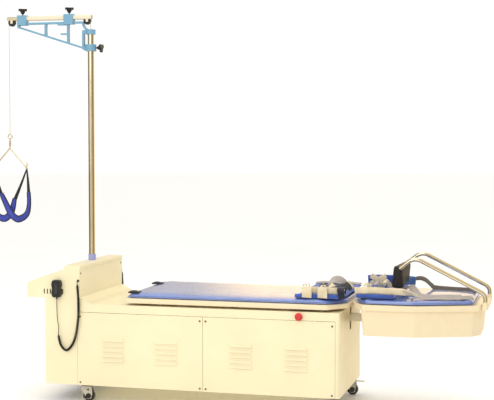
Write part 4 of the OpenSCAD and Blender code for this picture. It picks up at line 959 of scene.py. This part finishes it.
def make_sling():
    """Two crossed padded bands with bound edges, hung from the spreader's hooks by black straps."""
    bands, parts = [], []
    for side in (1, -1):
        y = -side * BAND_Y
        name = "front" if side > 0 else "rear"
        pts = [(ROPE_X + side * x, y + 0.0015 * math.sin(3 * i), z) for i, (x, z) in enumerate(LOOPS[name])]
        across = sideways(pts)
        band = strap("sling_band_" + name, pts, across, [2 * h - 0.005 for h in LOOP_HALF], 0.0076, 8, 0.0003)
        paint(band, MATERIALS["sling_blue"])
        bands.append(band)
        path, dirs, halves = smooth_path(pts, 8), smooth_path(across,
                                                              8), smooth_path([(h, 0, 0) for h in LOOP_HALF],
                                                                              8)
        for e in (-1, 1):
            edge = tube("sling_binding_%s_%d" % (name, e + 1),
                        [p + d.normalized() * e * (h.x - 0.0030) for p, d, h in zip(path, dirs, halves)],
                        0.0036, 8, (0, 1, 0.01))
            paint(edge, WEB_BLACK)
            parts.append(edge)
            for face in (-1, 1):
                seam = tube("sling_seam_%s_%d_%d" % (name, e + 1, face + 1),
                            [p + d.normalized() * e * h.x * 0.45 + Vector((0, face * 0.0039, 0))
                             for p, d, h in zip(path, dirs, halves)], 0.0006, 6, (0, 1, 0.01))
                paint(seam, WEB_NAVY)
                parts.append(seam)
        for k in (0, -1):
            x, z = LOOPS[name][k]
            hook_side = side * (1 if x > 0 else -1)
            top = Vector((ROPE_X + hook_side * (HOOK_REACH + 0.003), 0.0, HOOK_LOW - 0.0105))
            low = Vector((ROPE_X + side * x, y, z - 0.008))
            run = [top, top.lerp(low, 0.5) + Vector((0.0015 * hook_side, 0, 0)), low]
            web = strap("sling_strap_%s_%d" % (name, k + 1), run, sideways(run),
                        (0.0085, 0.015, 2 * LOOP_HALF[k] - 0.003), 0.0034, 8)
            paint(web, WEB_BLACK)
            parts.append(web)
    for s in (-1, 1):
        parts.append(buckle("sling_ring_%d" % (s + 1), (ROPE_X + s * (HOOK_REACH + 0.003), 0,
                                                        HOOK_LOW - 0.0106), (0, 1, 0),
                            (0, 0, 1), 0.018, 0.008, MATERIALS["bright_steel"]))
    # turned swivel between the rope's eye and the two arms of the spreader
    rings = []
    for i in range(29):
        z = 1.372 + i * 0.001
        r = 0.0062 - 0.0014 * (i % 9 < 2) - 0.0022 * (i in (0, 28))
        rings.append([Vector((ROPE_X + r * math.cos(a * math.pi / 8), r * math.sin(a * math.pi / 8),
                              z)) for a in range(16)])
    swivel = loft("spreader_swivel", rings)
    paint(swivel, MATERIALS["bright_steel"])
    parts.append(swivel)
    for obj in bands + parts:
        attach(obj, "sling")
    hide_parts("head_sling")


def make_rope():
    """The hanging rope: three strands laid together."""
    top, low = PULLEY_Z, ROPE_LOW
    n = 260
    rings = []
    for i in range(n + 1):
        z = top + (low - top) * i / n
        ring = []
        for k in range(12):
            a = 2 * math.pi * k / 12
            r = ROPE_R * (0.9 + 0.1 * math.cos(3 * (a - i * 0.55)))
            ring.append(Vector((ROPE_X + r * math.cos(a), r * math.sin(a), z)))
        rings.append(ring)
    rope = loft("hanging_rope", rings)
    finish_piece(rope, "arm_nose", MATERIALS["rope_ivory"], ["rope_drop"])
    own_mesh(rope)
    # whipping where the rope is turned back round the thimble
    whip = tube("rope_whipping", [Vector((ROPE_X, 0, ROPE_LOW - 0.002 - 0.0008 * i)) for i in range(4)],
                0.0046, 12)
    finish_piece(whip, "sling", WEB_BLACK)


# -------- handset cords
WIRE_R, HELIX_R, HELIX_PITCH = 0.0021, 0.0049, 0.0052
LEAD_OUT = [(-0.729, 0.0093, 0.655), (-0.729, 0.0115, 0.6549), (-0.7287, 0.0142, 0.6515),
            (-0.728, 0.015, 0.645), (-0.728, 0.015, 0.636)]
COIL = [(-0.728, 0.015, 0.636), (-0.722, 0.013, 0.527), (-0.727, 0.011, 0.446), (-0.740, 0.011, 0.366),
        (-0.762, 0.011, 0.310), (-0.794, 0.012, 0.281), (-0.825, 0.013, 0.308), (-0.839, 0.014, 0.363)]
LEAD_IN = [(-0.839, 0.014, 0.363), (-0.837, 0.014, 0.400), (-0.844, 0.014, 0.455), (-0.846, 0.0145, 0.510),
           (-0.846, 0.0145, 0.5548)]


def cord_path(side):
    def placed(points, steps):
        return smooth_path([(x, side * (HALF_W + y), z) for x, y, z in points], steps)

    middle = placed(COIL, 40)
    lengths = [0.0]
    for a, b in zip(middle, middle[1:]):
        lengths.append(lengths[-1] + (b - a).length)
    frames = frames_along(middle, (0, 1, 0.05))
    turns = round(lengths[-1] / HELIX_PITCH)
    per_turn = 14
    coil = []
    j = 0
    total = turns * per_turn
    for i in range(total + 1):
        s = lengths[-1] * i / total
        while j < len(lengths) - 2 and lengths[j + 1] < s:
            j += 1
        f = (s - lengths[j]) / max(lengths[j + 1] - lengths[j], 1e-9)
        at = middle[j].lerp(middle[j + 1], f)
        _, n, b = frames[j]
        a = 2 * math.pi * i / per_turn
        grow = min(1.0, i / (per_turn * 1.5), (total - i) / (per_turn * 1.5))
        coil.append(at + HELIX_R * grow * (math.cos(a) * n + math.sin(a) * b))
    return placed(LEAD_OUT, 4)[:-1] + coil + placed(LEAD_IN, 8)[1:]


def make_cords():
    for side, name in ((-1, "near"), (1, "far")):
        path = cord_path(side)
        piece = tube("handset_cord_wire_" + name, path, WIRE_R, 8, (0, 1, 0.05))
        finish_piece(piece, "cabinet", MATERIALS["cord_rubber"],
                     ["handset_cord_" + name, "handset_coil_" + name])


# -------- handsets
def make_handsets():
    for name in ("near", "far"):
        eased("handset_" + name, 0.003, 3, 50)


# -------- castors
def make_castors():
    for i in range(1, 5):
        fork = eased("castor_fork_%d" % i, 0.0007, 2)
        fork.data.materials.append(HUB_DARK.mat)
        lo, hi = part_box("castor_wheel_%d" % i)
        hub = (lo + hi) / 2
        for p in fork.data.polygons:
            c = p.center
            near_axle = math.hypot(c.x - hub.x, c.z - hub.z) < 0.0145
            near_bolt = math.hypot(c.x - hub.x + 0.002, c.z - 0.063) < 0.0056
            outside = abs(c.y - hub.y) > 0.0166
            if (near_axle or near_bolt) and outside:
                p.material_index = 1
        eased("castor_wheel_%d" % i, 0.0008, 2)


make_camera()
make_light()
make_floor()
plain_nodes()
make_shells()
make_handsets()
make_castors()
make_cushions()
make_rest_pad()
make_thoracic_belt()
make_pelvic_belt()
make_sling()
make_rope()
make_cords()
